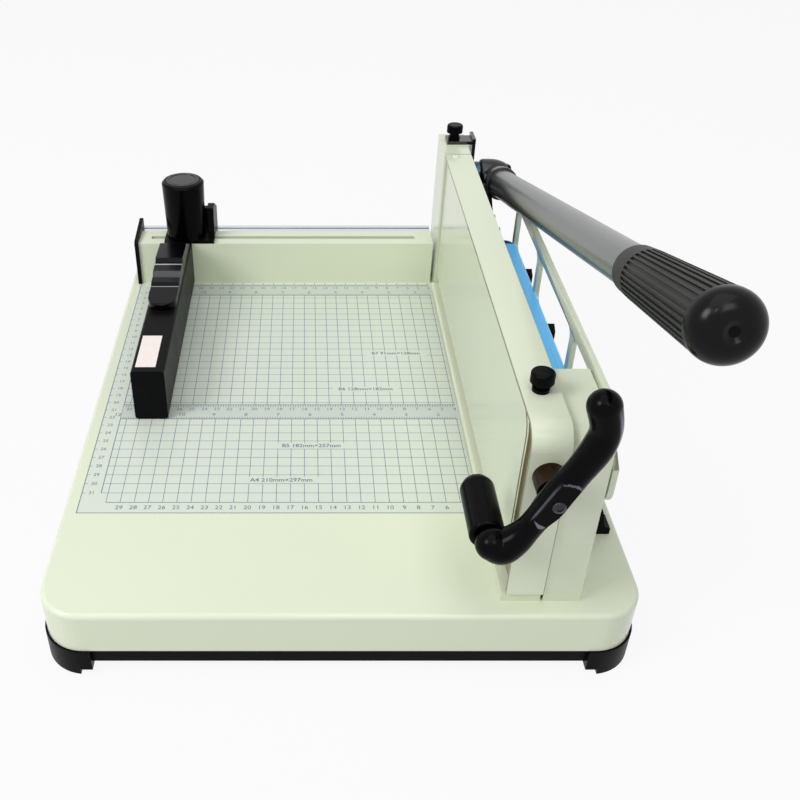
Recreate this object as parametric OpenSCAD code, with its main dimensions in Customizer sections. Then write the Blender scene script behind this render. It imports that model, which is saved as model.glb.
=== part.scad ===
// Lever cutter for stacks of paper: base with a ruled table, fence, side guide, press beam and knife.
// Lengths are in millimetres. +X runs to the right, +Y to the back and +Z up.
// The origin is on the floor, at the middle of the whole machine's plan with the knife closed.

/* [Base] */
// Width of the base from left to right
base_w = 382; // [370:1:400]
// Depth of the base from front to back
base_d = 500; // [490:1:540]
// Corner radius of the base seen from above
base_corner_r = 28; // [20:1:40]
// Radius of the rounded upper edge of the base shell
base_edge_r = 3.5; // [2:0.5:8]
// Height of the base shell
shell_h = 32; // [28:1:40]
// Wall of the base shell
shell_wall = 3; // [2.5:0.5:4]
// Height of the bottom tray under the shell
tray_h = 12; // [9:1:16]
// Height of the corner feet below the tray
foot_h = 9; // [6:1:14]
// Length of a corner foot along each side
foot_reach = 34; // [30:1:44]
// Distance from the base's right edge to the cutting line
cut_inset = 65; // [60:1:70]
// Distance from the fence's face to the base's rear edge
fence_margin = 75; // [70:1:80]
// Width of the cutting stick let into the table
stick_w = 10; // [8:0.5:12]
// Depth of the cutting stick
stick_h = 8; // [6:0.5:10]

/* [Fence] */
// Height of the fence
fence_h = 42; // [38:1:50]
// Depth of the fence's box section
fence_d = 27; // [24:1:28]
// Wall of the fence's box section
fence_wall = 3; // [2:0.5:4]
// Gap from the base's left edge to the fence's end plate
fence_inset = 7.2; // [2:0.1:12]
// Thickness of the fence's end plate
end_plate_t = 3.5; // [3:0.5:5]
// Width of the slot in the fence's top
slot_w = 5.4; // [5:0.2:6.6]
// Width of the guide rail behind the fence
rail_w = 13; // [11:0.5:16]

/* [Side guide] */
// Width of the side guide bar
guide_w = 26; // [22:1:32]
// Reach of the side guide bar in front of the fence
guide_l = 222; // [180:1:260]
// Height of the side guide bar
guide_h = 45; // [44:1:52]
// Distance of the side guide's left side from the base's left edge
guide_inset = 35.7; // [30:0.1:60]
// Diameter of the lock knob at its top
knob_d = 39; // [34:1:42]
// Height of the lock knob
knob_h = 55; // [44:1:60]

/* [Press beam] */
// Width of the press beam's hood
hood_w = 23; // [23:0.1:24]
// Height of the hood's top above the table
hood_z = 134; // [132:1:145]
// Sheet thickness of the hood
hood_t = 2; // [1.5:0.25:2.5]
// Radius of the hood's upper front corner
hood_r = 14; // [8:1:20]
// Distance from the base's front edge to the hood's front
hood_nose = 11; // [8:1:16]
// Sheet thickness of the press panel
panel_t = 1.5; // [1.2:0.1:2]
// Overhang of the hood past the press panel
panel_inset = 4; // [3.5:0.25:4.5]
// Width of the ledge in front of the press panel
ledge_w = 6.5; // [4:0.5:9]
// Height of the press foot above the table
foot_bar_h = 7; // [6:0.5:9]
// Thickness of the pad under the press foot
pad_t = 2; // [1:0.5:3]

/* [Press drive] */
// Height of the crank's shaft above the table
shaft_z = 104; // [102:1:106]
// Diameter of the crank's shaft
shaft_d = 10; // [8:0.5:10]
// Tooth module of the lift gear, idler and rack
gear_m = 1.25; // [1.25:0.05:1.3]
// Teeth of the lift gear
lift_teeth = 24; // [23:1:24]
// Teeth of the idler
idler_teeth = 12; // [11:1:13]
// Teeth of each bevel gear
bevel_teeth = 12; // [10:1:14]
// Pitch radius of each bevel gear at its large end
bevel_r = 4.6; // [4.2:0.1:4.7]
// Distance of the crank grip's axis from the shaft, to the left
grip_dx = 33; // [30:1:36]
// Distance of the crank grip's axis from the shaft, downwards
grip_dz = 33; // [28:1:34]
// Diameter of the crank's grip
crank_grip_d = 21; // [16:0.5:22]
// Length of the crank's grip
crank_grip_l = 45; // [36:1:46]
// Diameter of the crank's arms
crank_arm_d = 16; // [12:0.5:17]

/* [Knife] */
// Height of the knife's pivot above the table
pivot_z = 113; // [112:0.5:116]
// Diameter of the pivot axle
axle_d = 12; // [10:0.5:14]
// Thickness of the blade
blade_t = 4; // [3:0.5:4.5]
// Distance from the hood's front to the blade's front end
blade_setback = 89; // [88:1:100]
// Height of the blade from edge to back
blade_h = 62; // [56:1:66]
// Thickness of the knife holder behind the blade
holder_t = 6; // [5:0.5:7]
// Thickness of the ladder-shaped carrier
carrier_t = 3.5; // [3:0.5:5]
// Distance from the hood's front to the carrier's front end
carrier_setback = 4; // [2:1:12]
// Height of the carrier's upper edge above the table
carrier_top = 133; // [130:0.5:134]
// Height of the carrier's lower edge above the table
carrier_low = 76; // [75:0.5:78]
// Height of the carrier's lower chord
low_chord_h = 13; // [12:0.5:14]
// Height of the carrier's upper chord
top_chord_h = 9; // [8:0.5:12]
// Width of a carrier strut
strut_w = 7; // [6:0.5:10]

/* [Lever] */
// Angle of the closed lever above the table
lever_angle = 16; // [15:0.5:18]
// Diameter of the lever tube
tube_d = 24; // [22:0.5:25]
// Wall of the lever tube
tube_wall = 2.5; // [2:0.25:3]
// Distance along the lever to the start of the grip
grip_start = 397; // [390:1:405]
// Length of the lever's grip
grip_l = 108; // [100:1:116]
// Diameter of the grip where it begins
grip_d0 = 27; // [27:0.5:29]
// Largest diameter of the grip
grip_d1 = 33.5; // [32:0.5:36]
// Number of flutes around the grip
grip_flutes = 32; // [24:1:34]
// Width of a flute
flute_w = 1.6; // [1.4:0.1:1.8]

/* [Right post] */
// Width of the right post
post_w = 23.3; // [20:0.1:23.4]
// Depth of the right post
post_d = 67; // [60:1:67]
// Height of the right post above the table
post_h = 130; // [120:1:134]
// Sheet thickness of the right post
post_t = 2; // [1.5:0.25:2.5]

/* [Hidden] */
$fn = 64;

// Colours
cream = [0.87, 0.88, 0.79];
black = [0.06, 0.06, 0.07];
soft_black = [0.13, 0.13, 0.13];
steel = [0.66, 0.67, 0.69];
bright = [0.80, 0.82, 0.84];
bronze = [0.55, 0.38, 0.18];
tube_grey = [0.42, 0.44, 0.46];
guard_blue = [0.40, 0.72, 0.95];
stick_tan = [0.80, 0.76, 0.66];

// Clearances
running = 0.05;
side_gap = 0.3;
rest_gap = 0.4;
bore_slip = 0.1;
eps = 0.01;

// The lever's foremost point and the frame's origin
cap_dome = 13;
cap_round = 11;
cap_r = grip_d1 / 2 + 0.3;
cap_sink = 3;
cap_screw_r = 3;
grip_neck = 18;
flute_depth = 1.1;
lever_end = grip_start + grip_l;
lever_reach = (lever_end + cap_dome - cap_round) * cos(lever_angle)
    + (cap_r - cap_round) * sin(lever_angle) + cap_round;
base_rear = fence_margin;
hood_front = base_rear - base_d + hood_nose;
cut_x = base_w / 2 - cut_inset;
foot_lip = 1.5;
fence_y = (lever_reach - base_rear - foot_lip) / 2;
table_z = foot_h + tray_h + shell_h;

// Table frame: X from the cutting line, Y from the fence's face, Z from the table's top
base_left = cut_inset - base_w;
base_mid = [cut_inset - base_w / 2, base_rear - base_d / 2];
stick_front = hood_front + 69;
stick_back = 6;
stick_left = -stick_w * 0.3;
stick_right = stick_w * 0.7;
rib_gap = stick_w * 1.8;
stop_w = 12;
stop_h = 20;
stop_inset = 7;
stop_front = hood_front + 62;
stop_l = 14;
tray_inset = 2;
tray_wall = 3;
foot_full = foot_reach - 8;
pad_r = 7;
pad_depth = 2;
foot_pad_at = 16;

// Fence and guide places
fence_left = base_left + fence_inset + end_plate_t;
hood_right = -side_gap;
hood_left = hood_right - hood_w;
fence_right = hood_left - 2.6;
slot_y = fence_d / 2;
slot_left = fence_left + 13.5;
slot_right = fence_right - 18.5;
rail_h = 9;
rail_back = fence_d + rail_w;
fence_screw_r = 2.5;
fence_screw_x = [fence_left + 40, (fence_left + fence_right) / 2, fence_right - 40];
guide_left = base_left + guide_inset;
guide_mid = guide_left + guide_w / 2;
guide_wall = 3;
arm_l = 131;
arm_steps = [[0, 5], [2, 6.3], [32, 7], [34, 9], [44, 9], [47, 12], [64, 12], [67, 15], [100, 13]];
knob_x = guide_mid + 7;
carriage_z = fence_h + side_gap;
plate_h = 2.7;
knob_z = carriage_z + plate_h + side_gap;
stud_r = slot_w / 2 - side_gap;
yoke_h = 30;
yoke_t = 6;
yoke_y = rail_back + side_gap;
yoke_right = knob_x + knob_d / 2 + 7.5;
yoke_shoulder = yoke_h * 0.6;

// Press beam places
panel_left = hood_left + panel_inset;
panel_right = panel_left + panel_t;
ledge_left = panel_left - ledge_w;
hood_rear = -10;
hood_inner = hood_z - hood_t;
column_y0 = hood_front + 56;
column_y1 = hood_front + 84;
column_left = panel_right + side_gap;
column_right = -1;
foot_front = column_y1 + 2;
foot_back = hood_rear - hood_t;
rear_col_y0 = -8;
rear_col_y1 = 41;
key_w = 6;
key_y = rear_col_y0 - 3;
key_x = (hood_left + hood_right) / 2;
thumb_y = hood_front + 41;
rear_thumb_y = 22;
keeper_t = 3;
keeper_half = 8;
keeper_drop = 22;
thumb_r = 3;
thumb_head_r = 7.1;
thumb_head_h = 7;
thumb_neck = 6;
thumb_round = 1.5;
thumb_knurls = 24;
bolt_r = 3;
bolt_head_h = 4;
bolt_head_r = 5.5;
column_bolt_at = [[-9, column_y1 - 14], [-9, hood_front + 16], [-11.5, 4], [-11.5, 30]];

// Drive places: the lift gear turns about X at the crank shaft's end, the idler meets the rack
shaft_x = panel_right + 6.8;
gear_y = hood_front + 29;
rack_y = hood_front + 52;
gear_left = -3.6;
gear_right = -0.9;
lift_r = lift_teeth * gear_m / 2;
idler_r = idler_teeth * gear_m / 2;
idler_y = rack_y - idler_r;
idler_z = shaft_z - sqrt(pow(lift_r + idler_r, 2) - pow(idler_y - gear_y, 2));
mesh_angle = atan2(idler_z - shaft_z, idler_y - gear_y);
idler_phase = mesh_angle + 180 + 180 / idler_teeth;
rack_pitch = PI * gear_m;
rack_tooth_turn = (idler_phase + 180) % (360 / idler_teeth);
rack_gap_z = idler_z + idler_r * PI / 180 * rack_tooth_turn;
cross_r = 2;
bracket_t = 1.1;
bush_r = shaft_d / 2 + 4.5;
bush_front = hood_front - 14;
crank_rear = bush_front - 0.5;
crank_t = 12;
crank_front = crank_rear - crank_t;
grip_pin_r = 4;
arm_r = crank_arm_d / 2;
arm_sag = 9;
upper_end = [16, 62];
upper_sag = 10;
thick_from = 0.58;
thick_r = arm_r + 0.9;
thick_cap_r = thick_r + 0.3;
boss_r = 9.6;
boss_flat_r = 15;
crank_screw_r = 4.3;
crank_screw_h = 3;
crank_screw_sink = 4;

// Knife places: blade, holder, spacers and carrier side by side along X
holder_x = blade_t;
spacer_x = holder_x + holder_t;
carrier_x = spacer_x + 16;
carrier_right = carrier_x + carrier_t;
blade_top = rest_gap + blade_h;
holder_low = 30;
holder_top = pivot_z - 9;
blade_l = -hood_front - blade_setback;
holder_l = blade_l - 7;
chord_top = carrier_low + low_chord_h;
chord_mid = carrier_low + low_chord_h / 2;
spacer_r = low_chord_h / 2;
spacer_at = [for (f = [0.44, 0.7075, 0.96]) -f * holder_l];
hub_bolt_at = [-38, -64];
bolt8_r = 4;
bolt8_head_h = 5;
bolt8_head_r = 6.8;
blade_bolt_at = [for (f = [0.095, 0.315, 0.535, 0.755, 0.96]) -f * holder_l];
blade_bolt_z = blade_top - 14;
guard_t = 6;
guard_rear = -0.335 * holder_l;
hub_left = spacer_x + 0.5;
hub_right = hub_left + 25.5;
hub_plate_t = 6;
hub_plate_x = hub_left + hub_plate_t;
hub_plate_front = -76;
lever_x = spacer_x + 14.7;
lever_z = pivot_z - 6;
hub_r = 12.5;
hub_bore_r = axle_d / 2 + 2;
socket_r = tube_d / 2 + 1.8;
socket_lip = 0.7;
socket_lip_l = 6;
tube_start = 20;
socket_end = 66;
collar_r = axle_d / 2 + 4;
carrier_l = -hood_front - carrier_setback;
carrier_r = 12;
struts_at = [for (f = [0.244, 0.454, 0.717]) -f * carrier_l];
carrier_rear = struts_at[0] + strut_w / 2;
window_r = 7;
post_left = hood_right + 1;
post_front = hood_front + 2;
post_back = post_front + post_d;

// Gear outlines: straight-sided teeth with the flanks at the pressure angle
flank = 20;
tooth_play = 0.16;
function tooth_half(m, h) = PI * m / 4 * (1 - tooth_play) - h * tan(flank);
function tooth_corner(r, half) = asin(half / r);
function gear_points(n, ra, rf, sa, sf) = [
    for (i = [0 : n - 1])
        for (c = [[rf, -sf], [ra, -sa], [ra, sa], [rf, sf]])
            c[0] * [cos(360 / n * i + c[1]), sin(360 / n * i + c[1])]];
function spur_points(n, m) = gear_points(n, n * m / 2 + 0.8 * m, n * m / 2 - 1.15 * m,
    tooth_corner(n * m / 2 + 0.8 * m, tooth_half(m, 0.8 * m)),
    tooth_corner(n * m / 2 - 1.15 * m, tooth_half(m, -0.9 * m)));

module on_table() {
    translate([cut_x, fence_y, table_z]) children();
}

module rounded_rect(w, d, r) {
    square([w - 2 * r, d], center = true);
    square([w, d - 2 * r], center = true);
    for (sx = [-1, 1], sy = [-1, 1])
        translate([sx * (w / 2 - r), sy * (d / 2 - r)]) circle(r);
}

// A box between two corners
module block(low, high) {
    translate(low) cube(high - low);
}

module x_rod(r, x0, x1) {
    translate([x0, 0, 0]) rotate([0, 90, 0]) cylinder(h = x1 - x0, r = r);
}

module y_rod(r, y0, y1) {
    translate([0, y0, 0]) rotate([-90, 0, 0]) cylinder(h = y1 - y0, r = r);
}

// Extrude an outline drawn as (Y, Z) along X
module across(x0, x1) {
    translate([x0, 0, 0]) rotate([90, 0, 90]) linear_extrude(x1 - x0) children();
}

// Extrude an outline drawn as (X, Z) along Y
module lengthwise(y0, y1) {
    translate([0, y1, 0]) rotate([90, 0, 0]) linear_extrude(y1 - y0) children();
}

// Local +Z runs forwards and up along the lever
module along_lever() {
    translate([lever_x, 0, lever_z]) rotate([90 - lever_angle, 0, 0]) children();
}

// A side view with a rounded upper front corner: front at y0, open to the back
module hooded_outline(y0, y1, z0, z1, r) {
    translate([y0 + r, z0]) square([y1 - y0 - r, z1 - z0]);
    translate([y0, z0]) square([r + eps, z1 - z0 - r]);
    translate([y0 + r, z1 - r]) circle(r);
}

module hex_bolt_x(head_x, tip_x, head_h, head_r, r) {
    x_rod(r, min(head_x, tip_x), max(head_x, tip_x));
    translate([head_x, 0, 0]) rotate([0, 90, 0]) cylinder(h = head_h, r = head_r, $fn = 6);
}

// Knurled screw that stands on the part it clamps
module thumb_screw() {
    translate([0, 0, -6]) cylinder(h = 6.5, r = thumb_r);
    cylinder(h = 2.5, r = thumb_r + 2.2);
    cylinder(h = thumb_neck + 1, r = thumb_r + 1);
    difference() {
        translate([0, 0, thumb_neck]) rotate_extrude() {
            square([thumb_head_r, thumb_head_h - thumb_round]);
            square([thumb_head_r - thumb_round, thumb_head_h]);
            intersection() {
                translate([thumb_head_r - thumb_round, thumb_head_h - thumb_round]) circle(thumb_round);
                square([thumb_head_r, thumb_head_h]);
            }
        }
        for (i = [0 : thumb_knurls - 1])
            rotate(360 / thumb_knurls * i) translate([thumb_head_r + 0.3, 0, thumb_neck - 1])
                cylinder(h = thumb_head_h + 2, r = 0.6, $fn = 16);
    }
}

// Base

module base_shell() {
    color(cream) on_table() difference() {
        translate([base_mid[0], base_mid[1], -shell_h]) hull() {
            for (sx = [-1, 1], sy = [-1, 1])
                translate([sx * (base_w / 2 - base_corner_r), sy * (base_d / 2 - base_corner_r), 0])
                    rotate_extrude($fn = 48) corner_profile();
        }
        translate([base_mid[0], base_mid[1], -shell_h - eps])
            linear_extrude(shell_h - stick_h - shell_wall + eps)
                rounded_rect(base_w - 2 * shell_wall, base_d - 2 * shell_wall, base_corner_r - shell_wall);
        for (side = [[base_left + base_edge_r, -rib_gap], [rib_gap, cut_inset - base_edge_r]])
            block([side[0] + shell_wall, base_rear - base_d + base_corner_r, -stick_h - shell_wall - eps],
                [side[1] - shell_wall, base_rear - base_corner_r, -shell_wall]);
        block([stick_left, stick_front, -stick_h], [stick_right, stick_back, eps]);
        for (p = column_bolt_at)
            translate([p[0], p[1], -stick_h - shell_wall - 1])
                cylinder(h = stick_h + shell_wall + 2, r = bolt_r + bore_slip);
        for (x = fence_screw_x)
            translate([x, slot_y, -shell_wall - 1])
                cylinder(h = shell_wall + 2, r = fence_screw_r + bore_slip);
    }
}

module corner_profile() {
    square([base_corner_r, shell_h - base_edge_r]);
    square([base_corner_r - base_edge_r, shell_h]);
    intersection() {
        translate([base_corner_r - base_edge_r, shell_h - base_edge_r]) circle(base_edge_r, $fn = 32);
        square([base_corner_r, shell_h]);
    }
}

module tray_outline(inset) {
    rounded_rect(base_w - 2 * inset, base_d - 2 * inset, base_corner_r - inset);
}

module bottom_tray() {
    color(black) on_table() translate([base_mid[0], base_mid[1], -shell_h - tray_h]) difference() {
        linear_extrude(tray_h) tray_outline(tray_inset);
        translate([0, 0, tray_wall]) linear_extrude(tray_h) tray_outline(tray_inset + tray_wall);
    }
}

// One foot caps a corner: deep at the corner, with a shallower step at each end
module corner_foot() {
    corner = [base_w / 2 + foot_lip, base_d / 2 + foot_lip];
    intersection() {
        linear_extrude(foot_h) tray_outline(-foot_lip);
        block([corner[0] - foot_full, corner[1] - foot_full, 0], [corner[0], corner[1], foot_h]);
    }
    intersection() {
        linear_extrude(foot_h) tray_outline(-foot_lip);
        block([corner[0] - foot_reach, corner[1] - foot_reach, foot_h / 2], [corner[0], corner[1], foot_h]);
    }
    intersection() {
        translate([0, 0, foot_h - eps]) linear_extrude(tray_h - 0.2 + eps) difference() {
            tray_outline(-foot_lip);
            tray_outline(tray_inset);
        }
        block([corner[0] - foot_reach, corner[1] - foot_reach, 0], [corner[0], corner[1], table_z]);
    }
}

module corner_feet() {
    color(black) on_table() translate([base_mid[0], base_mid[1], -table_z])
        for (sx = [0, 1], sy = [0, 1])
            mirror([sx, 0, 0]) mirror([0, sy, 0]) difference() {
                corner_foot();
                translate([base_w / 2 - foot_pad_at, base_d / 2 - foot_pad_at, -eps])
                    cylinder(h = pad_depth + eps, r = pad_r);
            }
}

module foot_pads() {
    color(soft_black) on_table() translate([base_mid[0], base_mid[1], -table_z])
        for (sx = [-1, 1], sy = [-1, 1])
            translate([sx * (base_w / 2 - foot_pad_at), sy * (base_d / 2 - foot_pad_at), 0])
                cylinder(h = pad_depth, r = pad_r);
}

module cutting_stick() {
    color(stick_tan) on_table()
        block([stick_left + bore_slip, stick_front + bore_slip, -stick_h],
            [stick_right - bore_slip, stick_back - bore_slip, 0]);
}

// Fence

module fence() {
    color(cream) on_table() difference() {
        across(fence_left, fence_right) difference() {
            square([fence_d, fence_h]);
            translate([fence_wall, fence_wall]) square([fence_d - 2 * fence_wall, fence_h - 2 * fence_wall]);
        }
        for (x = [slot_left, slot_right])
            translate([x, slot_y, fence_h - fence_wall - 1]) cylinder(h = fence_wall + 2, r = slot_w / 2);
        block([slot_left, slot_y - slot_w / 2, fence_h - fence_wall - 1],
            [slot_right, slot_y + slot_w / 2, fence_h + 1]);
        for (x = fence_screw_x)
            translate([x, slot_y, -1]) cylinder(h = fence_wall + 2, r = fence_screw_r);
    }
}

// Flat rail with a groove along its top
module fence_rail() {
    color(bright) on_table() across(fence_left, fence_right) translate([fence_d, fence_h - rail_h])
        difference() {
            square([rail_w, rail_h]);
            translate([rail_w * 0.4, rail_h - 2]) square([rail_w * 0.22, 3]);
            translate([3, -1]) square([rail_w - 6, rail_h - 4]);
        }
}

module fence_end_plate() {
    color(black) on_table() across(fence_left - end_plate_t, fence_left)
        polygon([[-2.5, 0], [-2.5, fence_h + 1], [0, fence_h + 3], [rail_back, fence_h + 8],
            [rail_back + 1, fence_h + 7], [rail_back + 1, fence_h - rail_h],
            [fence_d, fence_h - rail_h], [fence_d, 0]]);
}

module fence_screws() {
    color(steel) on_table() for (x = fence_screw_x) {
        translate([x, slot_y, -shell_wall]) cylinder(h = shell_wall + fence_wall + 2, r = fence_screw_r);
        translate([x, slot_y, -shell_wall - 3]) cylinder(h = 3, r = 5);
    }
}

// Columns, pivot and post

module front_column() {
    color(cream) on_table() difference() {
        union() {
            block([column_left, column_y0, 0], [column_right, column_y1, hood_inner - 1]);
            block([ledge_left, hood_front + hood_t, 0], [column_right, column_y1, foot_bar_h]);
        }
        for (i = [0, 1])
            translate([column_bolt_at[i][0], column_bolt_at[i][1], -1]) cylinder(h = 6, r = bolt_r);
    }
}

module rear_column() {
    color(cream) on_table() difference() {
        union() {
            block([hood_left, rear_col_y0, 0], [hood_right, rear_col_y1, hood_z]);
            block([key_x - key_w / 2, key_y, foot_bar_h + 3],
                [key_x + key_w / 2, rear_col_y0, hood_inner - 1]);
        }
        block([hood_left + 3, rear_col_y0 + 4, 12], [hood_right - 3, rear_col_y1 + 1, pivot_z - 20]);
        translate([0, 0, pivot_z]) x_rod(axle_d / 2, hood_left + 3, hood_right + 1);
        translate([key_x, rear_thumb_y, hood_z - 7]) cylinder(h = 8, r = thumb_r);
        for (i = [2, 3])
            translate([column_bolt_at[i][0], column_bolt_at[i][1], -1]) cylinder(h = 10, r = bolt_r);
    }
}

module column_bolts() {
    color(steel) on_table() for (p = column_bolt_at) {
        translate([p[0], p[1], -stick_h - shell_wall]) cylinder(h = stick_h + shell_wall + 4.5, r = bolt_r);
        translate([p[0], p[1], -stick_h - shell_wall - bolt_head_h])
            cylinder(h = bolt_head_h, r = bolt_head_r, $fn = 6);
    }
}

module pivot_axle() {
    color(steel) on_table() translate([0, 0, pivot_z]) {
        x_rod(axle_d / 2, hood_left + 3.2, hub_right + 9);
        x_rod(collar_r, hood_right, hub_left - side_gap);
    }
}

module axle_nut() {
    color(steel) on_table() translate([0, 0, pivot_z]) difference() {
        union() {
            x_rod(11, hub_right + side_gap, hub_right + 2);
            translate([hub_right + 2, 0, 0]) rotate([0, 90, 0]) cylinder(h = 6.5, r = 10, $fn = 6);
        }
        x_rod(axle_d / 2, hub_right, hub_right + 10);
    }
}

// Strap under the rear thumb screw, turned down beside the axle
module axle_keeper() {
    plate_x = hub_left - 6.5;
    near = rear_thumb_y - keeper_half;
    far = rear_thumb_y + keeper_half;
    color(black) on_table() difference() {
        union() {
            block([key_x - keeper_half + 1, near, hood_z], [plate_x + keeper_t, far, hood_z + keeper_t]);
            block([plate_x, near, hood_z - keeper_drop],
                [plate_x + keeper_t, far + 4, hood_z + keeper_t + 2]);
        }
        translate([key_x, rear_thumb_y, hood_z - 1]) cylinder(h = 5, r = thumb_r + bore_slip);
    }
}

module rear_thumb_screw() {
    color(black) on_table() translate([key_x, rear_thumb_y, hood_z + keeper_t]) thumb_screw();
}

module right_post() {
    color(cream) on_table() difference() {
        across(post_left, post_left + post_w) hooded_outline(post_front, post_back, 0, post_h, hood_r);
        across(post_left + post_t, post_left + post_w - post_t)
            hooded_outline(post_front + post_t, post_back + 1, -1, post_h - post_t, hood_r - post_t);
    }
}

module side_stop() {
    color(black) on_table() lengthwise(stop_front, stop_front + stop_l)
        translate([cut_inset - stop_inset - stop_w, 0])
            polygon([[0, 0], [stop_w, 0], [stop_w, stop_h / 4], [stop_w * 2 / 3, stop_h / 3],
                [stop_w * 0.4, stop_h], [stop_w / 4, stop_h]]);
}

// Side guide

module guide_bar() {
    color(black) on_table() difference() {
        lengthwise(-guide_l, -side_gap) translate([guide_mid, guide_h / 2 + rest_gap / 2])
            rounded_rect(guide_w, guide_h - rest_gap, 2.5);
        block([guide_left + guide_wall, -guide_l + guide_wall, -1],
            [guide_left + guide_w - guide_wall, -guide_wall - side_gap, guide_h - 6]);
    }
}

// The arm lies on the bar with a rounded front end, steps up towards the fence and meets the carriage
module guide_arm() {
    back = slot_y - knob_d / 2 - 1;
    half = guide_w / 2 - 1;
    color(black) on_table() intersection() {
        across(guide_mid - half, guide_mid + half)
            polygon(concat([[-arm_l, guide_h]],
                [for (step = arm_steps) [step[0] - arm_l, guide_h + step[1]]],
                [[back, carriage_z + plate_h], [back, guide_h]]));
        translate([guide_mid, half - arm_l, guide_h - 1]) linear_extrude(knob_h) {
            circle(half);
            translate([-half, 0]) square([2 * half, arm_l]);
        }
    }
}

// Plate under the knob, leg behind the rail and upright cheek to the knob's right
module guide_carriage() {
    front = -side_gap;
    color(soft_black) on_table() difference() {
        union() {
            block([guide_left, front, carriage_z], [yoke_right, yoke_y + yoke_t, carriage_z + plate_h]);
            block([guide_left, yoke_y, fence_h - rail_h - 6],
                [yoke_right, yoke_y + yoke_t, carriage_z + yoke_shoulder]);
            across(yoke_right - yoke_t, yoke_right)
                polygon([[slot_y - 4, carriage_z], [slot_y, carriage_z + yoke_h],
                    [slot_y + 12, carriage_z + yoke_h], [yoke_y + yoke_t, carriage_z + yoke_shoulder],
                    [yoke_y + yoke_t, carriage_z]]);
        }
        translate([knob_x, slot_y, carriage_z - 1]) cylinder(h = plate_h + 2, r = stud_r + running);
    }
}

module slot_nut() {
    color(steel) on_table() translate([knob_x, slot_y, fence_h - fence_wall - 4.5]) difference() {
        translate([-9, -6, 0]) cube([18, 12, 4]);
        translate([0, 0, -1]) cylinder(h = 6, r = stud_r + running);
    }
}

module lock_stud() {
    color(steel) on_table() translate([knob_x, slot_y, fence_h - fence_wall - 6])
        cylinder(h = knob_z - fence_h + fence_wall + 6 + 14, r = stud_r);
}

module lock_knob() {
    color(black) on_table() translate([knob_x, slot_y, knob_z]) difference() {
        union() {
            cylinder(h = knob_h - 2, r1 = knob_d / 2 - 1.5, r2 = knob_d / 2);
            translate([0, 0, knob_h - 2]) cylinder(h = 2, r1 = knob_d / 2, r2 = knob_d / 2 - 2);
        }
        translate([0, 0, -1]) cylinder(h = 15, r = stud_r);
    }
}

// Press beam

module press_hood() {
    color(cream) on_table() difference() {
        across(hood_left, hood_right) difference() {
            hooded_outline(hood_front, hood_rear, foot_bar_h + 0.6, hood_z, hood_r);
            translate([hood_front + hood_t, 0])
                hooded_outline(0, hood_rear - hood_front - 2 * hood_t, -1, hood_inner, hood_r - hood_t);
        }
        block([key_x - key_w / 2 - side_gap, hood_rear - hood_t - 1, 0],
            [key_x + key_w / 2 + side_gap, hood_rear + 1, hood_inner]);
        translate([shaft_x, 0, shaft_z]) y_rod(bush_r - 3, hood_front - 1, hood_front + hood_t + 1);
        translate([key_x, thumb_y, hood_inner - 1]) cylinder(h = hood_t + 2, r = thumb_r);
    }
}

module press_panel() {
    color(cream) on_table() across(panel_left, panel_right)
        hooded_outline(hood_front + hood_t, hood_rear - hood_t, foot_bar_h + 0.6, hood_inner,
            hood_r - hood_t);
}

// Bar along the panel's foot: the ledge shows on the left, the pressing edge reaches the cutting line
module press_foot() {
    low = rest_gap + pad_t;
    color(cream) on_table() lengthwise(foot_front, foot_back)
        polygon([[ledge_left, low], [ledge_left, foot_bar_h - 2], [ledge_left + 1.5, foot_bar_h],
            [panel_left, foot_bar_h], [panel_left, foot_bar_h + 0.6], [panel_right, foot_bar_h + 0.6],
            [panel_right, foot_bar_h + 8], [panel_right + 4, foot_bar_h + 8], [panel_right + 7, foot_bar_h],
            [hood_right, foot_bar_h], [hood_right, low]]);
}

module press_pad() {
    color(soft_black) on_table()
        block([ledge_left + 1, foot_front + 1, rest_gap],
            [hood_right - 0.5, foot_back - 1, rest_gap + pad_t]);
}

module front_thumb_screw() {
    color(black) on_table() translate([key_x, thumb_y, hood_z]) thumb_screw();
}

// Press drive

module shaft_bush() {
    color(bronze) on_table() translate([shaft_x, 0, shaft_z]) difference() {
        union() {
            y_rod(bush_r, bush_front, hood_front);
            y_rod(bush_r - 3, hood_front - 1, hood_front + hood_t + 6);
        }
        y_rod(shaft_d / 2 + running, bush_front - 1, hood_front + hood_t + 7);
    }
}

// Sheet bracket on the panel's inner side that carries the cross shaft and the idler
module gear_bracket() {
    color(steel) on_table() difference() {
        across(panel_right, panel_right + bracket_t) union() {
            translate([gear_y - 6, idler_z - 6]) square([idler_y - gear_y + 10, shaft_z - idler_z + 12]);
            translate([gear_y - 6, shaft_z]) square([12, hood_inner - shaft_z - hood_t]);
        }
        translate([0, gear_y, shaft_z]) x_rod(cross_r + running, panel_right - 1, panel_right + 3);
        translate([0, idler_y, idler_z]) x_rod(cross_r + running, panel_right - 1, panel_right + 3);
    }
}

module clamp_shaft() {
    color(steel) on_table() translate([shaft_x, 0, shaft_z]) union() {
        difference() {
            y_rod(shaft_d / 2, crank_front + crank_screw_sink, gear_y - bevel_r - 3);
            y_rod(2.5, crank_front + 3, crank_front + 16);
        }
        y_rod(bevel_r * 0.55, gear_y - bevel_r - 4, gear_y - bevel_r);
    }
}

// Straight bevel gear: every line runs to the apex, which lies at the local origin below the large end
module bevel_gear() {
    reach = bevel_r * 0.42;
    tip = bevel_r * tan(45 + atan(0.75 * sqrt(2) / bevel_teeth));
    root = bevel_r * tan(45 - atan(1.1 * sqrt(2) / bevel_teeth));
    half = 90 / bevel_teeth * (1 - 1.6 * tooth_play);
    translate([0, 0, bevel_r]) mirror([0, 0, 1]) linear_extrude(reach, scale = 1 - reach / bevel_r)
        polygon(gear_points(bevel_teeth, tip, root, half * 0.45, half * 1.35));
}

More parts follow.
